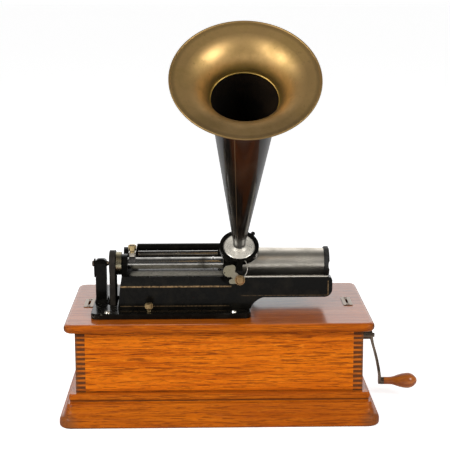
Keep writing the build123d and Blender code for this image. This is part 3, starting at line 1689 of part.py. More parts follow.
with BuildPart() as speed_screw:
    knob_base = flange_top + seat_gap
    screw_plane = Plane(origin=(speed_screw_x, speed_screw_y, 0), x_dir=(1, 0, 0), z_dir=(0, -1, 0))
    with BuildSketch(screw_plane) as half:
        Polygon(
            (0, screw_arm_top + speed_screw_play),
            (speed_shank_radius, screw_arm_top + speed_screw_play),
            (speed_shank_radius, knob_base),
            (speed_screw_radius - 1.6, knob_base),
            (speed_screw_radius - 1.2, knob_base + 3),
            (speed_screw_radius, knob_base + 5),
            (speed_screw_radius, knob_base + speed_screw_height - 1.4),
            (speed_screw_radius - 1.4, knob_base + speed_screw_height),
            (0, knob_base + speed_screw_height),
        )
    revolve(half.sketch, axis=Axis((speed_screw_x, speed_screw_y, 0), (0, 0, 1)))
speed_screw.part.label = "speed_screw"
export_step(speed_screw.part, "parts/speed_screw.step")

# Motor frame: three plates with their bearings, hung from the bed casting by ears

plate_bottom = main_z - 18
plate_outline = [
    (-ear_reach - 6, board_top),
    (-ear_reach - 6, board_top - 17),
    (pillar_places[0][0] - 10, pillar_places[0][1]),
    (pillar_places[0][0] - 4, pillar_places[0][1] - 10),
    (second_y - 8, plate_bottom),
    (main_y + 12, plate_bottom),
    (main_y + 22, main_z - 6),
    (pillar_places[1][0] + 8, pillar_places[1][1] - 6),
    (ear_reach + 6, board_top - 17),
    (ear_reach + 6, board_top),
]


def motor_frame_plate(left, ear_left, bearings, boss_left):
    """One plate of the motor with its two ears and a boss and a bore for each (axis, radius)."""
    slab(left, motor_plate, plate_outline)
    for side in (-1, 1):
        with BuildSketch(Plane.XY.offset(board_top - ear_thickness)) as ear:
            with Locations((ear_left + ear_length / 2, side * ear_reach)):
                Rectangle(ear_length, 12)
        extrude(ear.sketch, amount=ear_thickness)
        with BuildSketch(Plane.XY.offset(board_top - ear_thickness)) as hole:
            with Locations((ear_left + ear_length / 2, side * ear_reach)):
                Circle(bolt_radius)
        extrude(hole.sketch, amount=ear_thickness, mode=Mode.SUBTRACT)
    for axis, radius in bearings:
        disc(boss_left, motor_plate + 2, axis, radius + 4)
    for axis, radius in bearings:
        disc(left - 2, motor_plate + 4, axis, radius + running, Mode.SUBTRACT)
    for place in pillar_places:
        disc(left, motor_plate, place, pillar_spigot, Mode.SUBTRACT)


pillar_spigot = pillar_radius - 1.5
left_bearings = [
    (main_axis, arbor_radius),
    (second_axis, motor_shaft_radius),
    (pulley_axis, motor_shaft_radius),
    (governor_axis, governor_shaft_radius),
]
lug_right = governor_disc_x - 0.8

with BuildPart() as motor_plate_left:
    tube_left = pulley_left + 20
    disc(tube_left, left_plate_x - tube_left, pulley_axis, motor_shaft_radius + 3.5)
    slab(
        left_plate_x,
        lug_right - left_plate_x,
        [
            (lever_left_y, lever_pivot_z - 4),
            (lever_left_y + 5.5, lever_pivot_z - 4),
            (lever_left_y + 5.5, lever_pivot_z + 5),
            (lever_left_y, lever_pivot_z + 5),
        ],
    )
    with BuildSketch(Plane.XZ.offset(-lever_left_y)) as pin:
        with Locations((lever_pivot_x, lever_pivot_z)):
            Circle(lever_pin_radius)
    extrude(pin.sketch, amount=lever_hub_width)
    motor_frame_plate(left_plate_x, left_plate_x + motor_plate, left_bearings, left_plate_x - 2)
    disc(tube_left, left_plate_x - tube_left, pulley_axis, motor_shaft_radius + running, Mode.SUBTRACT)
motor_plate_left.part.label = "motor_plate_left"
export_step(motor_plate_left.part, "parts/motor_plate_left.step")

with BuildPart() as motor_plate_middle:
    motor_frame_plate(
        middle_plate_x,
        middle_plate_x + motor_plate,
        left_bearings + [(crank_axis, crank_shaft_radius)],
        middle_plate_x,
    )
motor_plate_middle.part.label = "motor_plate_middle"
export_step(motor_plate_middle.part, "parts/motor_plate_middle.step")

with BuildPart() as motor_plate_right:
    motor_frame_plate(
        right_plate_x,
        right_plate_x - ear_length,
        [(main_axis, arbor_radius), (crank_axis, crank_shaft_radius)],
        right_plate_x,
    )
motor_plate_right.part.label = "motor_plate_right"
export_step(motor_plate_right.part, "parts/motor_plate_right.step")

with BuildPart() as motor_fixings:
    for place in pillar_places:
        disc(left_plate_x, right_plate_x + motor_plate - left_plate_x, place, pillar_spigot)
        for start, end in ((left_plate_x, middle_plate_x), (middle_plate_x, right_plate_x)):
            disc(start + motor_plate, end - start - motor_plate, place, pillar_radius)
    for place in bolt_places:
        with BuildSketch(Plane.XY.offset(board_top - ear_thickness)) as bolt:
            with Locations(place):
                Circle(bolt_radius)
        extrude(bolt.sketch, amount=ear_thickness + bolt_depth)
        with BuildSketch(Plane.XY.offset(board_top - ear_thickness)) as head:
            with Locations(place):
                RegularPolygon(bolt_radius * 1.8, 6)
        extrude(head.sketch, amount=-3.5)
motor_fixings.part.label = "motor_fixings"
export_step(motor_fixings.part, "parts/motor_fixings.step")
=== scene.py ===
"""Looks of a spring-driven cylinder phonograph with an oak case and a brass-belled horn."""

from math import atan2, cos, pi, radians, sin, sqrt

import bmesh
import bpy
from mathutils import Matrix, Vector


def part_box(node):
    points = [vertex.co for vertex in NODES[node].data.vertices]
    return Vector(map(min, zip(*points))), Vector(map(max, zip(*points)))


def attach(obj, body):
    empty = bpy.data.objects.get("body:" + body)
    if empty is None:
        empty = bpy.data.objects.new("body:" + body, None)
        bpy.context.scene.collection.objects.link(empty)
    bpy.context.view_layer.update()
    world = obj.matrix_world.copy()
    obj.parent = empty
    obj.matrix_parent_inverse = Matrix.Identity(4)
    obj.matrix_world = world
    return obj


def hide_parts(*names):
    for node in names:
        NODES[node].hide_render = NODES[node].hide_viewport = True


bl_info = {
    "name": "Cylinder phonograph",
    "version": (1, 0, 0),
    "blender": (4, 5, 0),
    "location": "View3D > Sidebar > Phonograph",
    "description": "Wood, japan, nickel and brass finishes, the belt, the knurls and the studio",
    "category": "Object",
}

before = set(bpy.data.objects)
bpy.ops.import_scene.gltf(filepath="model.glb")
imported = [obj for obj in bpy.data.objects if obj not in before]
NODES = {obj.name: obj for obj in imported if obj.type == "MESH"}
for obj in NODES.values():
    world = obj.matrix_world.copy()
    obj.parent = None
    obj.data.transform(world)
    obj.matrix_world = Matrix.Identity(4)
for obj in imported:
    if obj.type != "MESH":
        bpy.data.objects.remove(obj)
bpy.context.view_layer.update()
WHITE = (1.0, 1.0, 1.0, 1.0)

# Places on the machine, in metres
MANDREL_AXIS = (-0.012, 0.2015)
PULLEY_AXIS = (-0.012, 0.08828)
NECK_PIVOT = Vector((0.02855, -0.0414945, 0.2370409))
HORN_TILT = radians(44.43)
HORN_AXIS = Vector((0.0, -cos(HORN_TILT), sin(HORN_TILT)))
CASE_END = 0.1928
CASE_TOP = 0.129
FINGER_PITCH = CASE_TOP / 39
FINGER_START = CASE_END - 0.013
MITRE = 0.0893
PLINTH_TOP = 0.0445
BED_FRONT = -0.060
CRADLE_FRONT = -0.033
THROAT = 0.3068
THROAT_RADIUS = 0.0405


class Value:
    """A socket whose value is used in Python expressions."""

    def __init__(self, shader, socket):
        self.shader = shader
        self.socket = socket

    def maths(self, operation, *operands):
        return self.shader.node("ShaderNodeMath", {"operation": operation}, dict(enumerate(operands)))

    def __add__(self, other):
        return self.maths("ADD", self, other)

    def __radd__(self, other):
        return self.maths("ADD", other, self)

    def __sub__(self, other):
        return self.maths("SUBTRACT", self, other)

    def __rsub__(self, other):
        return self.maths("SUBTRACT", other, self)

    def __mul__(self, other):
        return self.maths("MULTIPLY", self, other)

    def __rmul__(self, other):
        return self.maths("MULTIPLY", other, self)

    def __truediv__(self, other):
        return self.maths("DIVIDE", self, other)

    def __rtruediv__(self, other):
        return self.maths("DIVIDE", other, self)

    def __pow__(self, other):
        return self.maths("POWER", self, other)

    def __neg__(self):
        return self.maths("MULTIPLY", self, -1.0)

    def __abs__(self):
        return self.maths("ABSOLUTE", self)

    def fraction(self):
        return self.maths("FRACT", self)

    def sine(self):
        return self.maths("SINE", self)

    def ramp(self, low, high, to_low=0.0, to_high=1.0):
        """This value stretched smoothly from low..high to to_low..to_high, never leaving that span."""
        settings = {"interpolation_type": "SMOOTHSTEP"}
        inputs = {"Value": self, "From Min": low, "From Max": high, "To Min": to_low, "To Max": to_high}
        return self.shader.node("ShaderNodeMapRange", settings, inputs)

    def band(self, low, high, soft=0.0003):
        """One between low and high and nothing outside, with soft edges."""
        return self.ramp(low - soft, low + soft) * self.ramp(high - soft, high + soft, 1.0, 0.0)


class Shader:
    """One material or the world, whose nodes are all made by one method."""

    def __init__(self, name, owner=None):
        self.material = owner or bpy.data.materials.new(name)
        self.material.use_nodes = True
        self.tree = self.material.node_tree
        self.tree.nodes.clear()
        self.place = self.node("ShaderNodeTexCoord", {}, {}, "Object")
        self.x, self.y, self.z = self.parts(self.place)

    def node(self, kind, settings, inputs, output=0):
        """Any node: its type, its settings, then the values or links of its sockets."""
        made = self.tree.nodes.new(kind)
        for name, setting in settings.items():
            setattr(made, name, setting)
        for name, value in inputs.items():
            socket = self.socket(made.inputs, name)
            if isinstance(value, Value):
                self.tree.links.new(value.socket, socket)
            else:
                socket.default_value = value
        return Value(self, self.socket(made.outputs, output)) if made.outputs else None

    @staticmethod
    def socket(sockets, name):
        """A socket by its number, its identifier or its name."""
        if isinstance(name, int):
            return sockets[name]
        return next((socket for socket in sockets if socket.identifier == name), None) or sockets[name]

    def parts(self, vector):
        """The three numbers of a vector."""
        first = self.node("ShaderNodeSeparateXYZ", {}, {"Vector": vector})
        return [Value(self, socket) for socket in first.socket.node.outputs]

    def facing(self):
        """The three numbers of the surface's own direction."""
        return self.parts(self.node("ShaderNodeTexCoord", {}, {}, "Normal"))

    def noise(self, scale, detail=3.0, roughness=0.55, stretch=(1.0, 1.0, 1.0)):
        """Cloudy noise between nothing and one, stretched by a scale for each axis."""
        spread = self.node("ShaderNodeMapping", {}, {"Vector": self.place, "Scale": stretch})
        inputs = {"Vector": spread, "Scale": scale, "Detail": detail, "Roughness": roughness}
        return self.node("ShaderNodeTexNoise", {}, inputs)

    def mix(self, factor, colour, other):
        """The first colour where the factor is nothing, the other where it is one."""
        inputs = {"Factor_Float": factor, "A_Color": colour, "B_Color": other}
        return self.node("ShaderNodeMix", {"data_type": "RGBA"}, inputs, "Result_Color")

    def bump(self, height, distance, strength=1.0):
        """A normal shifted by a height between nothing and one, in metres."""
        inputs = {"Height": height, "Distance": distance, "Strength": strength}
        return self.node("ShaderNodeBump", {}, inputs)

    def finish(self, **inputs):
        """The material with its surface; an underscore in a name stands for a space."""
        named = {name.replace("_", " "): value for name, value in inputs.items()}
        return self.show(self.node("ShaderNodeBsdfPrincipled", {}, named))

    def show(self, surface):
        self.node("ShaderNodeOutputMaterial", {}, {"Surface": surface})
        return self.material

    def dot(self, vector, other):
        return self.node("ShaderNodeVectorMath", {"operation": "DOT_PRODUCT"}, {0: vector, 1: other}, "Value")


def oak(name, finish, grain, jointed=False, stain=0.0):
    """Varnished quarter-sawn oak whose grain runs along X, along Y or round the mitred plinth."""
    shade = Shader(name)
    x, y, z = shade.x, shade.y, shade.z
    face_x, face_y, face_z = shade.facing()
    swapped = shade.node("ShaderNodeCombineXYZ", {}, {"X": y, "Y": x, "Z": z})
    end = abs(face_x)
    if grain == "Y":
        shade.place, end = swapped, abs(face_y)
    if grain == "mitred":
        side = (abs(x) - abs(y)).ramp(MITRE - 0.0001, MITRE + 0.0001)
        inputs = {"Factor_Float": side, "A_Vector": shade.place, "B_Vector": swapped}
        shade.place = shade.node("ShaderNodeMix", {"data_type": "VECTOR"}, inputs, "Result_Vector")
        end = end * 0.0
    cloud = shade.noise(11.0, 2.0)
    rings = shade.noise(1.0, 5.0, 0.6, (6.0, 210.0, 210.0))
    lines = shade.noise(1.0, 3.0, 0.6, (34.0, 760.0, 760.0))
    pores = shade.noise(1.0, 3.0, 0.65, (90.0, 900.0, 900.0))
    flecks = shade.noise(1.0, 2.0, 0.5, (60.0, 260.0, 260.0))
    colour = shade.mix(rings.ramp(0.36, 0.66), finish.oak_light, finish.oak_dark)
    colour = shade.mix(flecks.ramp(0.60, 0.70) * 0.35, colour, finish.oak_fleck)
    colour = shade.mix(lines.ramp(0.53, 0.59) * 0.72, colour, finish.oak_pore)
    colour = shade.mix(pores.ramp(0.55, 0.64) * 0.45, colour, finish.oak_pore)
    colour = shade.mix(cloud.ramp(0.45, 0.75) * 0.3, colour, finish.oak_dark)
    colour = shade.mix(cloud.ramp(0.25, 0.7, stain * 0.7, stain), colour, finish.oak_stain)
    colour = shade.mix(end.ramp(0.6, 0.9) * 0.9, colour, finish.oak_end)
    up = face_z.ramp(0.5, 0.9)
    if jointed:
        corner = abs(x).ramp(FINGER_START - 0.0002, FINGER_START) * abs(y).ramp(0.0903, 0.0905)
        gap = (z / FINGER_PITCH).fraction().band(0.07, 0.93, 0.04)
        # Painted shade: dark lines on the walls where they meet the plinth and just under the top board's
        # edge.
        painted_shade_and_dirt = z.band(PLINTH_TOP - 0.0015, PLINTH_TOP + 0.0017) + z.ramp(CASE_TOP - 0.0022, CASE_TOP - 0.0008)
        colour = shade.mix(painted_shade_and_dirt * 0.6, colour, finish.oak_end)
        colour = shade.mix(corner * 0.3, colour, finish.oak_edge)
        colour = shade.mix(corner * (1 - gap) * 0.7, colour, finish.oak_end)
        colour = shade.mix(abs(x).ramp(CASE_END - 0.0043, CASE_END - 0.0013) * 0.6, colour, finish.oak_edge)
    else:
        under_bead = PLINTH_TOP - 0.0092
        # Dirt and painted shade in the groove under the bead; the plinth is also darker along its very
        # bottom.
        painted_shade_and_dirt = z.band(under_bead - 0.0011, under_bead + 0.0011) * 0.8 + z.ramp(0.0030, 0.0005) * 0.5
        colour = shade.mix(painted_shade_and_dirt, colour, finish.oak_end)
        colour = shade.mix((abs(x) + abs(y)).ramp(0.308, 0.328) * 0.6, colour, finish.oak_edge)
    return shade.finish(
        Base_Color=colour,
        Roughness=rings.ramp(0.2, 0.8, 0.36, 0.5),
        Specular_IOR_Level=0.08,
        Coat_Weight=up * 0.95 + 0.05,
        Coat_Roughness=0.13,
        Normal=shade.bump(lines.ramp(0.5, 0.62) + pores.ramp(0.5, 0.7) * 0.6, 0.00005, 0.7),
    )


def japan(name, finish, stripe=None, deck=None):
    """Black japanned iron; stripe and deck each make a mask of worn gold or of a dusty, worn place."""
    shade = Shader(name)
    clouds = shade.noise(60.0, 4.0)
    grit = shade.noise(420.0, 3.0, 0.6)
    up = shade.facing()[2].ramp(0.6, 0.9)
    colour = shade.mix(clouds.ramp(0.45, 0.8), finish.japan, finish.japan_dust)
    rough = clouds.ramp(0.3, 0.7, 0.18, 0.34)
    if deck:
        dusty = deck(shade) * grit.ramp(0.3, 0.6, 0.35, 1.0)
        colour = shade.mix(dusty, colour, finish.bare_deck)
        rough = rough + dusty * 0.2
    if stripe:
        worn = stripe(shade) * shade.noise(300.0, 3.0, 0.7).ramp(0.35, 0.6, 0.1, 0.85)
        colour = shade.mix(worn, colour, finish.stripe)
        rough = rough + worn * 0.15
    return shade.finish(
        Base_Color=colour,
        Roughness=rough,
        Specular_IOR_Level=0.06,
        Coat_Weight=up * 0.45 + 0.09,
        Coat_Roughness=0.1,
        Normal=shade.bump(clouds * 0.7 + grit * 0.3, 0.00012, 0.3),
    )


def bed_stripes(shade):
    """The gold lines of the bed: on the slope's lower edge, at its foot and round the cradle's end."""
    x, y, z = shade.x, shade.y, shade.z
    slope_edge, foot_height, cradle_foot, cradle_end = 0.1790, 0.15195, 0.16595, 0.14905
    bed = y.ramp(BED_FRONT + 0.0020, BED_FRONT + 0.0014)
    cradle = y.ramp(CRADLE_FRONT + 0.0005, CRADLE_FRONT)
    slope = bed * z.band(slope_edge - 0.0009, slope_edge + 0.0009, 0.0002) * x.band(-0.1370, 0.0170)
    foot = bed * z.band(foot_height - 0.00045, foot_height + 0.00045, 0.0002) * x.band(-0.1340, 0.0140)
    end = cradle * x.band(cradle_end - 0.00055, cradle_end + 0.00055) * z.band(0.1665, 0.1860)
    under = cradle * z.band(cradle_foot - 0.00045, cradle_foot + 0.00045) * x.band(0.0300, 0.1490)
    return slope + foot * 0.45 + end * 0.7 + under * 0.3


def worn_bed(shade):
    """The dusty top of the bed under the feed screw, and bare spots on the flange's edge."""
    x, y, z = shade.x, shade.y, shade.z
    facing_up = shade.facing()[2].ramp(0.7, 0.9)
    deck = z.ramp(0.1870, 0.1880) * y.band(-0.0380, -0.0090, 0.002) * x.band(-0.1200, 0.0060, 0.004)
    chips = shade.noise(260.0, 3.0, 0.7).ramp(0.60, 0.66) * z.band(0.1400, 0.1490) * x.ramp(-0.150, -0.165)
    return facing_up * deck * 0.95 + chips * 0.6


def metal(name, bright, dull, smooth, matt, patch=30.0, dullness=1.0, metallic=1.0):
    """Handled metal: bright with duller clouds and a little pitting."""
    shade = Shader(name)
    clouds = shade.noise(patch, 5.0, 0.6)
    speckle = shade.noise(700.0, 3.0, 0.6)
    age = clouds.ramp(0.42, 0.72) * dullness
    colour = shade.mix(age, bright, dull)
    colour = shade.mix(speckle.ramp(0.62, 0.75) * 0.35, colour, dull)
    return shade.finish(
        Base_Color=colour,
        Metallic=metallic,
        Roughness=age * (matt - smooth) + speckle.ramp(0.3, 0.8, smooth, smooth + 0.06),
        Normal=shade.bump(speckle, 0.00002, 0.2),
    )


def screw_thread(name, finish):
    """The shaft of the mandrel: bright steel with the fine thread of the feed screw."""
    shade = Shader(name)
    clouds = shade.noise(40.0, 4.0)
    wave = (shade.x * (2 * pi / finish.thread_pitch)).sine() * 0.5 + 0.5
    threaded = shade.x.band(-0.139, -0.03, 0.001)
    colour = shade.mix(clouds.ramp(0.4, 0.7), finish.steel, finish.steel_dull)
    return shade.finish(
        Base_Color=shade.mix(wave * threaded * 0.2, colour, finish.steel_dull),
        Metallic=1.0,
        Roughness=clouds.ramp(0.3, 0.7, 0.16, 0.26),
        Normal=shade.bump(wave * threaded, 0.00003, 0.15),
    )


def horn_measures(shade):
    """How far along the horn a point is, its angle round the axis, and one on the outer side."""
    inputs = {0: shade.place, 1: tuple(NECK_PIVOT)}
    away = shade.node("ShaderNodeVectorMath", {"operation": "SUBTRACT"}, inputs, "Vector")
    along = shade.dot(away, tuple(HORN_AXIS))
    up = HORN_AXIS.cross(Vector((-1.0, 0.0, 0.0)))
    sideways, upwards = shade.dot(away, (1.0, 0.0, 0.0)), shade.dot(away, tuple(up))
    normal = shade.node("ShaderNodeTexCoord", {}, {}, "Normal")
    outward = shade.dot(normal, away) - along * shade.dot(normal, tuple(HORN_AXIS))
    return along, sideways.maths("ARCTAN2", sideways, upwards), outward.ramp(-0.001, 0.001)


def bell_brass(name, finish):
    """Old lacquered brass: browned in patches, greener at the throat and darker at the rim, with painted
    shade on its low side.
    """
    shade = Shader(name)
    along, angle = horn_measures(shade)[:2]
    clouds = shade.noise(22.0, 5.0, 0.62)
    spots = shade.noise(180.0, 4.0, 0.65)
    spun = shade.noise(1.0, 2.0, 0.5, (500.0, 500.0, 500.0))
    colour = shade.mix(clouds.ramp(0.34, 0.68), finish.bell_light, finish.bell_dark)
    colour = shade.mix(spots.ramp(0.60, 0.76) * 0.35, colour, finish.bell_spot_and_shade)
    colour = shade.mix(along.ramp(0.326, 0.309) * 0.6, colour, finish.bell_throat)
    # Painted shade: the bell's low side, round angle nothing, is darkened with the spot colour.
    colour = shade.mix(abs(angle).ramp(1.3, 0.5) * 0.45, colour, finish.bell_spot_and_shade)
    colour = shade.mix(along.ramp(0.3437, 0.3445) * 0.3, colour, finish.bell_spot_and_shade)
    return shade.finish(
        Base_Color=colour,
        Metallic=1.0,
        Roughness=clouds.ramp(0.3, 0.7, 0.44, 0.54),
        Coat_Weight=0.12,
        Coat_Roughness=0.4,
        Normal=shade.bump(clouds * 0.9 + spun * 0.1, 0.0002, 0.25),
    )


def horn_enamel(name, finish):
    """Glossy black enamel on tinplate, with the folded seams that run along the cone."""
    shade = Shader(name)
    angle, outer = horn_measures(shade)[1:]
    clouds = shade.noise(26.0, 4.0)
    seam = angle.band(-0.34, -0.30, 0.01) + angle.band(1.75, 1.78, 0.01) + angle.band(-2.44, -2.41, 0.01)
    colour = shade.mix(clouds.ramp(0.4, 0.75), finish.enamel, finish.enamel_worn)
    colour = shade.mix(seam.ramp(0.2, 0.8) * outer * 0.7, colour, finish.enamel_seam)
    return shade.finish(
        Base_Color=colour,
        Roughness=clouds.ramp(0.3, 0.7, 0.14, 0.24),
        Specular_IOR_Level=0.2,
        Coat_Weight=0.2,
        Coat_Roughness=0.06,
        Normal=shade.bump(seam * outer * 0.7 + clouds * 0.3, 0.0003, 0.4),
    )


def leather(name, finish):
    """Brown belt leather, creased across and polished in patches."""
    shade = Shader(name)
    grain = shade.noise(1500.0, 4.0, 0.6)
    crease = shade.noise(1.0, 3.0, 0.6, (120.0, 900.0, 900.0))
    worn = shade.noise(70.0, 3.0)
    colour = shade.mix(worn.ramp(0.35, 0.7), finish.leather, finish.leather_worn)
    colour = shade.mix(crease.ramp(0.55, 0.75) * 0.5, colour, finish.leather_crease)
    return shade.finish(
        Base_Color=colour,
        Roughness=grain.ramp(0.3, 0.7, 0.5, 0.72),
        Specular_IOR_Level=0.2,
        Normal=shade.bump(grain * 0.6 + crease * 0.4, 0.0002, 0.6),
    )


def rubber(name, tint, bloomed):
    """Old rubber with a faint bloom."""
    shade = Shader(name)
    bloom = shade.noise(140.0, 4.0)
    grit = shade.noise(1600.0, 2.0)
    return shade.finish(
        Base_Color=shade.mix(bloom.ramp(0.45, 0.8), tint, bloomed),
        Roughness=bloom.ramp(0.3, 0.7, 0.42, 0.62),
        Normal=shade.bump(grit, 0.0001, 0.4),
    )


def mica(name, finish):
    """The pale, clear disc of the reproducer, with its flaky layers."""
    shade = Shader(name)
    layers = shade.noise(240.0, 3.0)
    return shade.finish(
        Base_Color=shade.mix(layers.ramp(0.4, 0.7), finish.mica_dark, finish.mica_light),
        Roughness=layers.ramp(0.3, 0.7, 0.08, 0.2),
        Alpha=layers.ramp(0.3, 0.7, 0.5, 0.7),
    )


def grip_wood(name, finish):
    """Red-brown varnished hardwood, turned, with its fine grain along the grip."""
    shade = Shader(name)
    grain = shade.noise(1.0, 4.0, 0.6, (60.0, 900.0, 900.0))
    broad = shade.noise(1.0, 3.0, 0.6, (18.0, 160.0, 160.0))
    nose = shade.x.ramp(0.272, 0.283)
    colour = shade.mix(broad.ramp(0.35, 0.68), finish.grip_light, finish.grip_dark)
    colour = shade.mix(grain.ramp(0.55, 0.75) * 0.5, colour, finish.oak_pore)
    colour = shade.mix(nose * 0.4, colour, finish.grip_dark)
    return shade.finish(
        Base_Color=colour,
        Roughness=broad.ramp(0.3, 0.7, 0.28, 0.42),
        Specular_IOR_Level=0.3,
        Coat_Weight=0.55,
        Coat_Roughness=0.07,
        Normal=shade.bump(grain, 0.00008, 0.5),
    )


def dress(material, *names):
    """Gives CAD nodes a material."""
    for name in names:
        for slot in NODES[name].material_slots:
            slot.material = material


def new_piece(name, mesh, body, material):
    """Puts a finished mesh in the scene, riding on a body and smooth where it is round."""
    piece = bpy.data.objects.new(name, mesh)
    bpy.context.scene.collection.objects.link(piece)
    mesh.materials.clear()
    mesh.materials.append(material)
    mesh.shade_smooth()
    mesh.set_sharp_from_angle(angle=radians(35))
    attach(piece, body)
    return piece


def mesh_of_rings(name, rings, closed):
    """A skin over rings of points; closed joins the last ring to the first."""
    shape = bmesh.new()
    loops = [[shape.verts.new(point) for point in ring] for ring in rings]
    pairs = list(zip(loops, loops[1:] + loops[:1] if closed else loops[1:]))
    for loop, following in pairs:
        for number in range(len(loop)):
            after = (number + 1) % len(loop)
            shape.faces.new((loop[number], loop[after], following[after], following[number]))
    if not closed:
        shape.faces.new(reversed(loops[0]))
        shape.faces.new(loops[-1])
    bmesh.ops.recalc_face_normals(shape, faces=shape.faces)
    mesh = bpy.data.meshes.new(name)
    shape.to_mesh(mesh)
    shape.free()
    return mesh


class Grown:
    """A Geometry Nodes tree with named inputs, which ends in Realize Instances and Set Material."""

    def __init__(self, name, inputs):
        self.tree = bpy.data.node_groups.new(name, "GeometryNodeTree")
        self.tree.interface.new_socket("Geometry", in_out="INPUT", socket_type="NodeSocketGeometry")
        for title, kind in inputs.items():
            self.tree.interface.new_socket(title, in_out="INPUT", socket_type=kind)
        self.tree.interface.new_socket("Geometry", in_out="OUTPUT", socket_type="NodeSocketGeometry")
        self.given = self.tree.nodes.new("NodeGroupInput").outputs

    def node(self, kind, settings, inputs, output=0):
        made = self.tree.nodes.new(kind)
        for name, setting in settings.items():
            setattr(made, name, setting)
        for name, value in inputs.items():
            socket = made.inputs[name]
            if isinstance(value, bpy.types.NodeSocket):
                self.tree.links.new(value, socket)
            else:
                socket.default_value = value
        return made.outputs[output] if made.outputs else None

    def end(self, geometry):
        """Places what was grown, and gives it its material."""
        given = self.given
        moved = self.node("GeometryNodeTransform", {}, {"Geometry": geometry, "Translation": given["Place"]})
        real = self.node("GeometryNodeRealizeInstances", {}, {"Geometry": moved})
        done = self.node("GeometryNodeSetMaterial", {}, {"Geometry": real, "Material": given["Material"]})
        self.node("NodeGroupOutput", {}, {"Geometry": done})

    def mesh(self, name, points, **values):
        """The plain mesh that the tree makes from points and the values of its named inputs."""
        start = bpy.data.meshes.new(name)
        start.from_pydata(points, [], [])
        carrier = bpy.data.objects.new(name, start)
        bpy.context.scene.collection.objects.link(carrier)
        modifier = carrier.modifiers.new(name, "NODES")
        modifier.node_group = self.tree
        for item in self.tree.interface.items_tree:
            title = item.name.replace(" ", "_")
            if item.in_out == "INPUT" and title in values:
                modifier[item.identifier] = values[title]
        bpy.context.view_layer.update()
        seen = carrier.evaluated_get(bpy.context.evaluated_depsgraph_get())
        mesh = bpy.data.meshes.new_from_object(seen)
        mesh.name = name
        bpy.data.objects.remove(carrier)
        return mesh


def rib_ring():
    """Upright ribs round a knurled knob."""
    kinds = {
        "Ribs": "NodeSocketInt",
        "Radius": "NodeSocketFloat",
        "Rib Radius": "NodeSocketFloat",
        "Height": "NodeSocketFloat",
        "Place": "NodeSocketVector",
        "Material": "NodeSocketMaterial",
    }
    grown = Grown("knurled ribs", kinds)
    given = grown.given
    circle = grown.node("GeometryNodeMeshCircle", {}, {"Vertices": given["Ribs"], "Radius": given["Radius"]})
    sizes = {"Vertices": 8, "Radius": given["Rib Radius"], "Depth": given["Height"]}
    rib = grown.node("GeometryNodeMeshCylinder", {}, sizes)
    grown.end(grown.node("GeometryNodeInstanceOnPoints", {}, {"Points": circle, "Instance": rib}))
    return grown


def screw_heads():
    """Slotted, low-domed screw heads on the points of a mesh."""
    kinds = {
        "Radius": "NodeSocketFloat",
        "Dome": "NodeSocketVector",
        "Slot": "NodeSocketVector",
        "Slot Place": "NodeSocketVector",
        "Place": "NodeSocketVector",
        "Material": "NodeSocketMaterial",
    }
    grown = Grown("slotted screw heads", kinds)
    given = grown.given
    sizes = {"Segments": 24, "Rings": 12, "Radius": given["Radius"]}
    ball = grown.node("GeometryNodeMeshUVSphere", {}, sizes)
    dome = grown.node("GeometryNodeTransform", {}, {"Geometry": ball, "Scale": given["Dome"]})
    bar = grown.node("GeometryNodeMeshCube", {}, {"Size": given["Slot"]})
    bar = grown.node("GeometryNodeTransform", {}, {"Geometry": bar, "Translation": given["Slot Place"]})
    cut = grown.node("GeometryNodeMeshBoolean", {"operation": "DIFFERENCE"}, {"Mesh 1": dome, "Mesh 2": bar})
    points = {"Points": given["Geometry"], "Instance": cut}
    grown.end(grown.node("GeometryNodeInstanceOnPoints", {}, points))
    return grown


def colour_property(name, description, *default):
    return bpy.props.FloatVectorProperty(
        name=name, description=description, subtype="COLOR", size=4, min=0.0, max=1.0, default=(*default, 1.0)
    )


def length_property(name, description, default):
    return bpy.props.FloatProperty(
        name=name, description=description, default=default, subtype="DISTANCE", unit="LENGTH", precision=5
    )


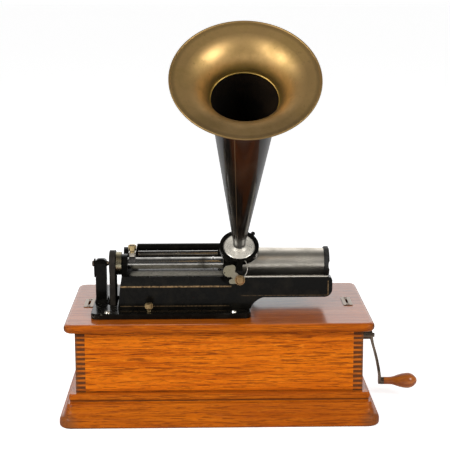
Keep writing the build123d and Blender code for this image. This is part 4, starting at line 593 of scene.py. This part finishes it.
class PhonographFinish(bpy.types.PropertyGroup):
    """Colours and textures of the finishes."""

    oak_light: colour_property("Oak, light", "Light wood between the rings", 0.72, 0.175, 0.003)
    oak_dark: colour_property("Oak, dark", "Dark wood of the rings", 0.50, 0.098, 0.001)
    oak_stain: colour_property("Oak, stained", "Darker stain of mouldings and top", 0.20, 0.042, 0.002)
    oak_fleck: colour_property("Oak flecks", "Ray flecks of quarter-sawn oak", 0.86, 0.27, 0.012)
    oak_pore: colour_property("Oak pores", "Pores filled with stain", 0.115, 0.018, 0.0008)
    # Also the colour of the painted shade lines on the walls and the plinth.
    oak_end: colour_property("Oak, end", "End grain of the joints", 0.060, 0.018, 0.004)
    oak_edge: colour_property("Oak, edge", "Dirty, handled edges and corners", 0.13, 0.055, 0.024)
    japan: colour_property("Japan", "Black japanning", 0.0035, 0.0032, 0.0026)
    japan_dust: colour_property("Japan, dusty", "Japanning that has dulled", 0.010, 0.0085, 0.006)
    bare_deck: colour_property("Worn bed", "The bed where it is dusty or bare", 0.30, 0.28, 0.23)
    stripe: colour_property("Stripes", "Worn gold lines", 0.33, 0.21, 0.10)
    # The slot plates' brown-grey tint is a painted reflection of the oak round them.
    plate: colour_property("Slot plates", "Tarnished plating of the slot plates", 0.36, 0.29, 0.23)
    plate_dull: colour_property("Slot plates, dull", "Browned plating", 0.26, 0.19, 0.14)
    mandrel: colour_property("Mandrel", "Satin nickel of the mandrel", 0.82, 0.76, 0.66)
    mandrel_dull: colour_property("Mandrel, dull", "Greyed nickel", 0.55, 0.51, 0.43)
    dark_steel: colour_property("Dark steel", "Browned steel of the crank", 0.20, 0.155, 0.115)
    dark_steel_dull: colour_property("Dark steel, dull", "Dirt on the crank", 0.07, 0.05, 0.035)
    collar: colour_property("Collar", "Pale brass of the ribbed collar", 0.50, 0.46, 0.32)
    nickel: colour_property("Nickel", "Nickel plating", 0.72, 0.67, 0.58)
    nickel_dull: colour_property("Nickel, dull", "Nickel plating gone dull", 0.38, 0.34, 0.27)
    cream_nickel: colour_property("Bright nickel", "Polished plating of the reproducer", 0.86, 0.81, 0.70)
    steel: colour_property("Steel", "Bright steel", 0.66, 0.64, 0.60)
    steel_dull: colour_property("Steel, dull", "Steel gone grey", 0.16, 0.15, 0.13)
    iron: colour_property("Iron", "Bare cast iron of the motor", 0.16, 0.155, 0.15)
    iron_dull: colour_property("Iron, dull", "Oiled, darkened iron", 0.06, 0.055, 0.05)
    brass: colour_property("Brass", "Polished brass", 0.56, 0.42, 0.21)
    brass_dull: colour_property("Brass, dull", "Browned brass", 0.27, 0.185, 0.085)
    bell_light: colour_property("Bell, light", "Bell where the brass is clear", 0.63, 0.40, 0.155)
    bell_dark: colour_property("Bell, dark", "Bell where the brass has browned", 0.44, 0.285, 0.10)
    # Also the colour of the painted shade on the bell's low side.
    bell_spot_and_shade: colour_property("Bell spots", "Dark spots of the bell", 0.10, 0.062, 0.024)
    bell_throat: colour_property("Bell, throat", "Greener brass next to the throat", 0.46, 0.33, 0.07)
    enamel: colour_property("Enamel", "Black enamel of the cone", 0.007, 0.006, 0.005)
    enamel_worn: colour_property("Enamel, worn", "Enamel gone brown", 0.020, 0.013, 0.008)
    enamel_seam: colour_property("Enamel seams", "Rubbed seams of the cone", 0.10, 0.065, 0.035)
    leather: colour_property("Leather", "Belt leather", 0.014, 0.011, 0.008)
    leather_worn: colour_property("Leather, worn", "Polished belt leather", 0.032, 0.025, 0.018)
    grip_light: colour_property("Grip, light", "Light wood of the grip", 0.56, 0.165, 0.018)
    grip_dark: colour_property("Grip, dark", "Dark wood of the grip", 0.30, 0.065, 0.006)
    leather_crease: colour_property("Leather, creased", "Dirt in the belt's creases", 0.02, 0.009, 0.004)
    ring_rubber: colour_property("End ring", "Black rubber of the mandrel's end ring", 0.010, 0.009, 0.008)
    neck_rubber: colour_property("Neck ring", "Rubber between horn and reproducer", 0.03, 0.024, 0.02)
    rubber_bloom: colour_property("Rubber, bloomed", "Rubber gone grey", 0.05, 0.046, 0.042)
    mica_dark: colour_property("Mica, dark", "Darker layers of the disc", 0.62, 0.56, 0.44)
    mica_light: colour_property("Mica, light", "Lighter layers of the disc", 0.74, 0.70, 0.60)
    spring_steel: colour_property("Spring steel", "Blued steel of the mainspring", 0.20, 0.20, 0.24)
    lever_screw: colour_property("Lever screw", "Coppery brass of the lever's screw", 0.42, 0.25, 0.12)
    lift_lever: colour_property("Lift lever", "Greyed plating of the lift lever", 0.30, 0.27, 0.19)
    thread_pitch: length_property("Thread pitch", "Pitch of the feed screw's thread", 0.0005)


class PhonographSizes(bpy.types.PropertyGroup):
    """Sizes of the pieces that are made here."""

    belt_width: length_property("Belt width", "Width of the drive belt", 0.0082)
    belt_thickness: length_property("Belt thickness", "Thickness of the drive belt", 0.0013)
    rib_sink: length_property("Rib sink", "How far the ribs sink into their knob", 0.0001)
    rib_radius: length_property("Rib radius", "Radius of one rib of a knurl", 0.00028)
    head_radius: length_property("Screw head radius", "Radius of the slot plates' screws", 0.0027)
    ribs: bpy.props.IntProperty(name="Ribs", description="Ribs round a knurled knob", default=44, min=8)


class PhonographStage(bpy.types.PropertyGroup):
    """Light and camera."""

    key: bpy.props.FloatProperty(
        name="Left light", description="Power of the light at the front left", default=62.0, unit="POWER"
    )
    fill: bpy.props.FloatProperty(
        name="Right light", description="Power of the light at the front right", default=44.0, unit="POWER"
    )
    top: bpy.props.FloatProperty(
        name="Top light", description="Power of the light overhead", default=3.0, unit="POWER"
    )
    ambient: bpy.props.FloatProperty(name="Ambient", description="Level of the room's light", default=0.336)
    front_level: bpy.props.FloatProperty(
        name="Room in front", description="How bright gloss shows the room behind the camera", default=0.04
    )
    back_level: bpy.props.FloatProperty(
        name="Room behind", description="How bright gloss shows the room behind the machine", default=1.08
    )
    floor_glow: bpy.props.FloatProperty(
        name="Floor glow", description="Light that the camera sees the floor give", default=0.7
    )
    lens: bpy.props.FloatProperty(
        name="Lens", description="Focal length", default=100.505, subtype="DISTANCE_CAMERA"
    )
    pitch: bpy.props.FloatProperty(
        name="Pitch", description="How far the camera looks down", default=radians(11.0078), subtype="ANGLE"
    )
    yaw: bpy.props.FloatProperty(
        name="Yaw", description="How far the camera looks right", default=radians(0.98805), subtype="ANGLE"
    )
    roll: bpy.props.FloatProperty(
        name="Roll", description="Turn of the camera about its line of sight",
        default=radians(-0.15878), subtype="ANGLE",
    )
    place: bpy.props.FloatVectorProperty(
        name="Camera place", description="Where the camera stands",
        default=(-0.019936, -1.721488, 0.587416), subtype="XYZ", unit="LENGTH",
    )


class PHONOGRAPH_OT_case(bpy.types.Operator):
    """Finish the oak case, its top, hinges and slot plates"""

    bl_idname = "phonograph.case"
    bl_label = "Case"

    def execute(self, context):
        finish, sizes = context.scene.phonograph_finish, context.scene.phonograph_sizes
        dress(oak("oak along", finish, "X", True), "front_wall", "rear_wall")
        dress(oak("oak across", finish, "Y", True), "left_wall", "right_wall")
        dress(oak("oak board", finish, "X", stain=0.5), "top_board", "bottom_board")
        dress(oak("oak mitred", finish, "mitred", stain=0.5), "plinth_moulding")
        # The plates' tint carries a painted reflection of the oak.
        plate = metal("slot plate nickel", finish.plate, finish.plate_dull, 0.3, 0.42)
        dress(plate, "slot_plates", "crank_bush")
        dress(metal("hinge steel", finish.steel, finish.steel_dull, 0.3, 0.5), "case_hinges", "top_hinges")
        low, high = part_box("slot_plates")
        radius, from_side, from_end = sizes.head_radius, 0.0065, 0.0045
        across = (low[0] + from_side, high[0] - from_side)
        along = (low[1] + from_end, high[1] - from_end)
        places = [(x, y, high[2]) for x in across for y in along]
        mesh = screw_heads().mesh(
            "slot_screws",
            places,
            Radius=radius,
            Dome=(1.0, 1.0, 0.38),
            Slot=(2.4 * radius, 0.3 * radius, 0.6 * radius),
            Slot_Place=(0.0, 0.0, 0.5 * radius),
            Place=(0.0, 0.0, 0.0),
            Material=plate,
        )
        new_piece("slot_screws", mesh, "top", plate)
        return {"FINISHED"}


class PHONOGRAPH_OT_bed(bpy.types.Operator):
    """Finish the japanned bed casting and what is fixed on it"""

    bl_idname = "phonograph.bed"
    bl_label = "Bed"

    def execute(self, context):
        finish, sizes = context.scene.phonograph_finish, context.scene.phonograph_sizes
        dress(japan("bed japan", finish, bed_stripes, worn_bed), "bed_casting")
        dress(japan("plain japan", finish), "pivot_post", "lock_lever")
        bright = metal("rod nickel", finish.nickel, finish.nickel_dull, 0.14, 0.3)
        dress(bright, "back_rod", "straight_edge")
        dress(metal("screw nickel", finish.nickel, finish.nickel_dull, 0.25, 0.4, 80.0), "bed_screws")
        dress(metal("pivot steel", finish.dark_steel, finish.dark_steel_dull, 0.3, 0.45, 80.0), "pivot_screw")
        brass = metal("bush brass", finish.brass, finish.brass_dull, 0.2, 0.38, 60.0)
        dress(brass, "bearing_bushes", "speed_screw")
        low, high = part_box("speed_screw")
        rib_height, rib_middle = 0.0058, 0.15685
        mesh = rib_ring().mesh(
            "speed_screw_ribs",
            [],
            Ribs=sizes.ribs,
            Radius=(high[0] - low[0]) / 2 - sizes.rib_sink,
            Rib_Radius=sizes.rib_radius,
            Height=rib_height,
            Place=((low[0] + high[0]) / 2, (low[1] + high[1]) / 2, rib_middle),
            Material=brass,
        )
        new_piece("speed_screw_ribs", mesh, "speed_screw", brass)
        return {"FINISHED"}


class PHONOGRAPH_OT_mandrel(bpy.types.Operator):
    """Finish the mandrel, its shaft, pulley and collar"""

    bl_idname = "phonograph.mandrel"
    bl_label = "Mandrel line"

    def execute(self, context):
        finish = context.scene.phonograph_finish
        dress(metal("mandrel nickel", finish.mandrel, finish.mandrel_dull, 0.32, 0.46, 45.0, 0.7), "mandrel")
        dress(screw_thread("feed screw steel", finish), "feed_screw")
        dress(rubber("end ring rubber", finish.ring_rubber, finish.rubber_bloom), "mandrel_end_ring")
        dress(japan("pulley japan", finish), "mandrel_pulley")
        dress(metal("collar brass", finish.collar, finish.brass_dull, 0.22, 0.38, 60.0, 0.6), "ribbed_collar")
        return {"FINISHED"}


class PHONOGRAPH_OT_belt(bpy.types.Operator):
    """Make the leather belt round both pulleys"""

    bl_idname = "phonograph.belt"
    bl_label = "Drive belt"

    def execute(self, context):
        finish, sizes = context.scene.phonograph_finish, context.scene.phonograph_sizes
        low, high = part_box("drive_belt")
        middle = (low[0] + high[0]) / 2
        thick = sizes.belt_thickness
        upper = MANDREL_AXIS[1], high[2] - MANDREL_AXIS[1] - thick
        lower = PULLEY_AXIS[1], PULLEY_AXIS[1] - low[2] - thick
        lean = (lower[1] - upper[1]) / (upper[0] - lower[0])
        tilt = atan2(lean, sqrt(1 - lean * lean))
        steps = 28
        path = []
        for (height, radius), start, end in ((upper, -tilt, pi + tilt), (lower, pi + tilt, 2 * pi - tilt)):
            for number in range(steps + 1):
                turn = start + (end - start) * number / steps
                path.append((MANDREL_AXIS[0], height, radius, cos(turn), sin(turn)))
        half = sizes.belt_width / 2
        corner = 0.35 * thick
        section = []
        for side, rise in ((1, 1), (-1, 1), (-1, 0), (1, 0)):
            for turn in (0, 45, 90) if side == (1 if rise else -1) else (90, 45, 0):
                out = corner * (1 - cos(radians(turn)))
                up = corner * (1 - sin(radians(turn)))
                section.append((side * (half - up), (thick - out) if rise else out))
        rings = []
        for y, height, radius, turn_y, turn_z in path:
            ring = []
            for across, lift in section:
                reach = radius + lift
                ring.append((middle + across, y + reach * turn_y, height + reach * turn_z))
            rings.append(ring)
        mesh = mesh_of_rings("belt", rings, closed=True)
        belt = new_piece("belt", mesh, "top", leather("belt leather", finish))
        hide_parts("drive_belt")
        return {"FINISHED"}


class PHONOGRAPH_OT_carriage(bpy.types.Operator):
    """Finish the carriage, its half nut, the lift lever and the reproducer"""

    bl_idname = "phonograph.carriage"
    bl_label = "Carriage and reproducer"

    def execute(self, context):
        finish, sizes = context.scene.phonograph_finish, context.scene.phonograph_sizes
        dress(japan("carriage japan", finish), "carriage", "clamp_screw")
        brass = metal("screw brass", finish.brass, finish.brass_dull, 0.18, 0.36, 80.0)
        dress(brass, "rod_bushes", "nut_set_screw", "floating_weight")
        coppery = metal("lever screw brass", finish.lever_screw, finish.brass_dull, 0.24, 0.4, 60.0)
        dress(coppery, "lever_screw")
        small = metal("small nickel", finish.nickel, finish.nickel_dull, 0.2, 0.38, 70.0)
        dress(small, "half_nut_arm", "guide_spring")
        dress(metal("lever nickel", finish.lift_lever, finish.nickel_dull, 0.26, 0.42, 60.0), "lift_lever")
        polish = metal("reproducer nickel", finish.cream_nickel, finish.nickel, 0.24, 0.36, 60.0, 0.6, 0.5)
        dress(polish, "reproducer_body")
        dress(metal("nut iron", finish.iron, finish.iron_dull, 0.3, 0.5, 80.0), "half_nut")
        dress(mica("mica disc", finish), "diaphragm")
        low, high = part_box("nut_set_screw")
        rib_height, rib_depth = 0.0034, 0.0026
        mesh = rib_ring().mesh(
            "nut_screw_ribs",
            [],
            Ribs=sizes.ribs,
            Radius=(high[0] - low[0]) / 2 - sizes.rib_sink,
            Rib_Radius=sizes.rib_radius,
            Height=rib_height,
            Place=((low[0] + high[0]) / 2, (low[1] + high[1]) / 2, high[2] - rib_depth),
            Material=brass,
        )
        new_piece("nut_screw_ribs", mesh, "carriage", brass)
        return {"FINISHED"}


class PHONOGRAPH_OT_horn(bpy.types.Operator):
    """Finish the horn and add the rolled lip where the bell meets the cone"""

    bl_idname = "phonograph.horn"
    bl_label = "Horn"

    def execute(self, context):
        finish = context.scene.phonograph_finish
        brass = bell_brass("bell brass", finish)
        dress(brass, "horn_bell")
        dress(horn_enamel("cone enamel", finish), "horn_cone")
        dress(rubber("neck rubber", finish.neck_rubber, finish.rubber_bloom), "neck_ring")
        bead, steps, corners = 0.0009, 96, 10
        side = Vector((1.0, 0.0, 0.0))
        up = HORN_AXIS.cross(side)
        rings = []
        for number in range(steps):
            turn = 2 * pi * number / steps
            outward = cos(turn) * side + sin(turn) * up
            centre = NECK_PIVOT + THROAT * HORN_AXIS + THROAT_RADIUS * outward
            angles = [2 * pi * corner / corners for corner in range(corners)]
            rings.append([centre + bead * (cos(a) * outward + sin(a) * HORN_AXIS) for a in angles])
        new_piece("bell_lip", mesh_of_rings("bell_lip", rings, closed=True), "horn", brass)
        return {"FINISHED"}


class PHONOGRAPH_OT_crank(bpy.types.Operator):
    """Finish the crank and its wooden grip"""

    bl_idname = "phonograph.crank"
    bl_label = "Crank"

    def execute(self, context):
        finish = context.scene.phonograph_finish
        dress(metal("crank steel", finish.dark_steel, finish.dark_steel_dull, 0.24, 0.42, 60.0), "crank")
        dress(grip_wood("grip wood", finish), "crank_grip")
        return {"FINISHED"}


class PHONOGRAPH_OT_motor(bpy.types.Operator):
    """Finish the spring motor and its governor"""

    bl_idname = "phonograph.motor"
    bl_label = "Motor"

    def execute(self, context):
        finish = context.scene.phonograph_finish
        iron = metal("motor iron", finish.iron, finish.iron_dull, 0.35, 0.55, 50.0)
        dress(iron, "motor_plate_left", "motor_plate_middle", "motor_plate_right", "spring_barrel")
        dress(iron, "motor_pulley", "friction_lever")
        steel = metal("motor steel", finish.steel, finish.steel_dull, 0.22, 0.4, 60.0)
        dress(steel, "winding_shaft", "main_arbor", "second_shaft", "pulley_shaft", "governor_shaft")
        dress(steel, "governor_springs", "motor_fixings")
        dress(metal("spring steel", finish.spring_steel, finish.steel_dull, 0.2, 0.34), "mainspring")
        brass = metal("motor brass", finish.brass, finish.brass_dull, 0.22, 0.4, 60.0)
        dress(brass, "main_wheel", "governor_disc", "governor_weights")
        return {"FINISHED"}


class PHONOGRAPH_OT_stage(bpy.types.Operator):
    """Set the floor, the studio light and the camera"""

    bl_idname = "phonograph.stage"
    bl_label = "Stage"

    def execute(self, context):
        stage = context.scene.phonograph_stage
        scene = context.scene
        scene.view_settings.view_transform = "Standard"
        self.floor(scene, stage)
        self.world(scene, stage)
        aim = Vector((0.0, -0.05, 0.2))
        lamps = (
            ("left light", (-1.9, -2.1, 1.75), 1.3, stage.key),
            ("right light", (2.0, -2.0, 1.7), 1.3, stage.fill),
            ("top light", (0.0, 0.9, 2.3), 2.0, stage.top),
        )
        for name, place, size, power in lamps:
            lamp = bpy.data.lights.new(name, "AREA")
            lamp.energy, lamp.size, lamp.shape = power, size, "SQUARE"
            holder = bpy.data.objects.new(name, lamp)
            holder.location = place
            holder.rotation_euler = (aim - Vector(place)).to_track_quat("-Z", "Y").to_euler()
            scene.collection.objects.link(holder)
        self.camera(scene, stage)
        return {"FINISHED"}

    def floor(self, scene, stage):
        reach = 30.0
        shape = bmesh.new()
        bmesh.ops.create_grid(shape, x_segments=2, y_segments=2, size=reach)
        mesh = bpy.data.meshes.new("floor")
        shape.to_mesh(mesh)
        shape.free()
        floor = bpy.data.objects.new("floor", mesh)
        scene.collection.objects.link(floor)
        shade = Shader("floor")
        paper = shade.noise(2.0, 2.0)
        colour = shade.mix(paper, (0.80, 0.80, 0.80, 1.0), (0.82, 0.82, 0.82, 1.0))
        card = shade.node("ShaderNodeBsdfPrincipled", {}, {"Base Color": colour, "Roughness": 0.9})
        glow = shade.node("ShaderNodeEmission", {}, {"Color": WHITE, "Strength": stage.floor_glow})
        lit = shade.node("ShaderNodeAddShader", {}, {0: card, 1: glow})
        camera = shade.node("ShaderNodeLightPath", {}, {}, "Is Camera Ray")
        shade.show(shade.node("ShaderNodeMixShader", {}, {0: camera, 1: card, 2: lit}))
        mesh.materials.append(shade.material)

    def world(self, scene, stage):
        room = bpy.data.worlds.new("studio")
        scene.world = room
        shade = Shader("studio", room)
        direction = shade.node("ShaderNodeTexCoord", {}, {}, "Generated")
        across, back, up = shade.parts(direction)
        camera = shade.node("ShaderNodeLightPath", {}, {}, "Is Camera Ray")
        glossy = shade.node("ShaderNodeLightPath", {}, {}, "Is Glossy Ray")
        seen = back.ramp(0.25, 0.7, stage.front_level, stage.back_level)
        level = glossy * seen + (1 - glossy) * stage.ambient
        level = camera + (1 - camera) * level
        glow = shade.node("ShaderNodeBackground", {}, {"Color": WHITE, "Strength": level})
        shade.node("ShaderNodeOutputWorld", {}, {"Surface": glow})

    def camera(self, scene, stage):
        lens = bpy.data.cameras.new("camera")
        lens.lens, lens.sensor_width, lens.sensor_fit = stage.lens, 36.0, "HORIZONTAL"
        holder = bpy.data.objects.new("camera", lens)
        pitch, yaw, roll = stage.pitch, stage.yaw, stage.roll
        ahead = Vector((sin(yaw) * cos(pitch), cos(yaw) * cos(pitch), -sin(pitch)))
        right = Vector((cos(yaw), -sin(yaw), 0.0))
        over = right.cross(ahead)
        side = cos(roll) * right + sin(roll) * over
        top = cos(roll) * over - sin(roll) * right
        turned = Matrix((side, top, -ahead)).transposed().to_4x4()
        holder.matrix_world = Matrix.Translation(stage.place) @ turned
        scene.collection.objects.link(holder)
        scene.camera = holder


class PHONOGRAPH_PT_panel(bpy.types.Panel):
    """The finishes, sizes, stage and the operators"""

    bl_idname = "PHONOGRAPH_PT_panel"
    bl_label = "Phonograph"
    bl_space_type = "VIEW_3D"
    bl_region_type = "UI"
    bl_category = "Phonograph"

    def draw(self, context):
        scene = context.scene
        for group in (scene.phonograph_finish, scene.phonograph_sizes, scene.phonograph_stage):
            box = self.layout.box()
            for name in group.__annotations__:
                box.prop(group, name)
        for operator in OPERATORS:
            self.layout.operator(operator.bl_idname)


OPERATORS = (
    PHONOGRAPH_OT_case,
    PHONOGRAPH_OT_bed,
    PHONOGRAPH_OT_mandrel,
    PHONOGRAPH_OT_belt,
    PHONOGRAPH_OT_carriage,
    PHONOGRAPH_OT_horn,
    PHONOGRAPH_OT_crank,
    PHONOGRAPH_OT_motor,
    PHONOGRAPH_OT_stage,
)
CLASSES = (PhonographFinish, PhonographSizes, PhonographStage, *OPERATORS, PHONOGRAPH_PT_panel)


def register():
    for kind in CLASSES:
        bpy.utils.register_class(kind)
    bpy.types.Scene.phonograph_finish = bpy.props.PointerProperty(type=PhonographFinish)
    bpy.types.Scene.phonograph_sizes = bpy.props.PointerProperty(type=PhonographSizes)
    bpy.types.Scene.phonograph_stage = bpy.props.PointerProperty(type=PhonographStage)


def unregister():
    del bpy.types.Scene.phonograph_stage
    del bpy.types.Scene.phonograph_sizes
    del bpy.types.Scene.phonograph_finish
    for kind in reversed(CLASSES):
        bpy.utils.unregister_class(kind)


def main():
    register()
    bpy.ops.phonograph.case()
    bpy.ops.phonograph.bed()
    bpy.ops.phonograph.mandrel()
    bpy.ops.phonograph.belt()
    bpy.ops.phonograph.carriage()
    bpy.ops.phonograph.horn()
    bpy.ops.phonograph.crank()
    bpy.ops.phonograph.motor()
    bpy.ops.phonograph.stage()


if __name__ == "__main__":
    main()
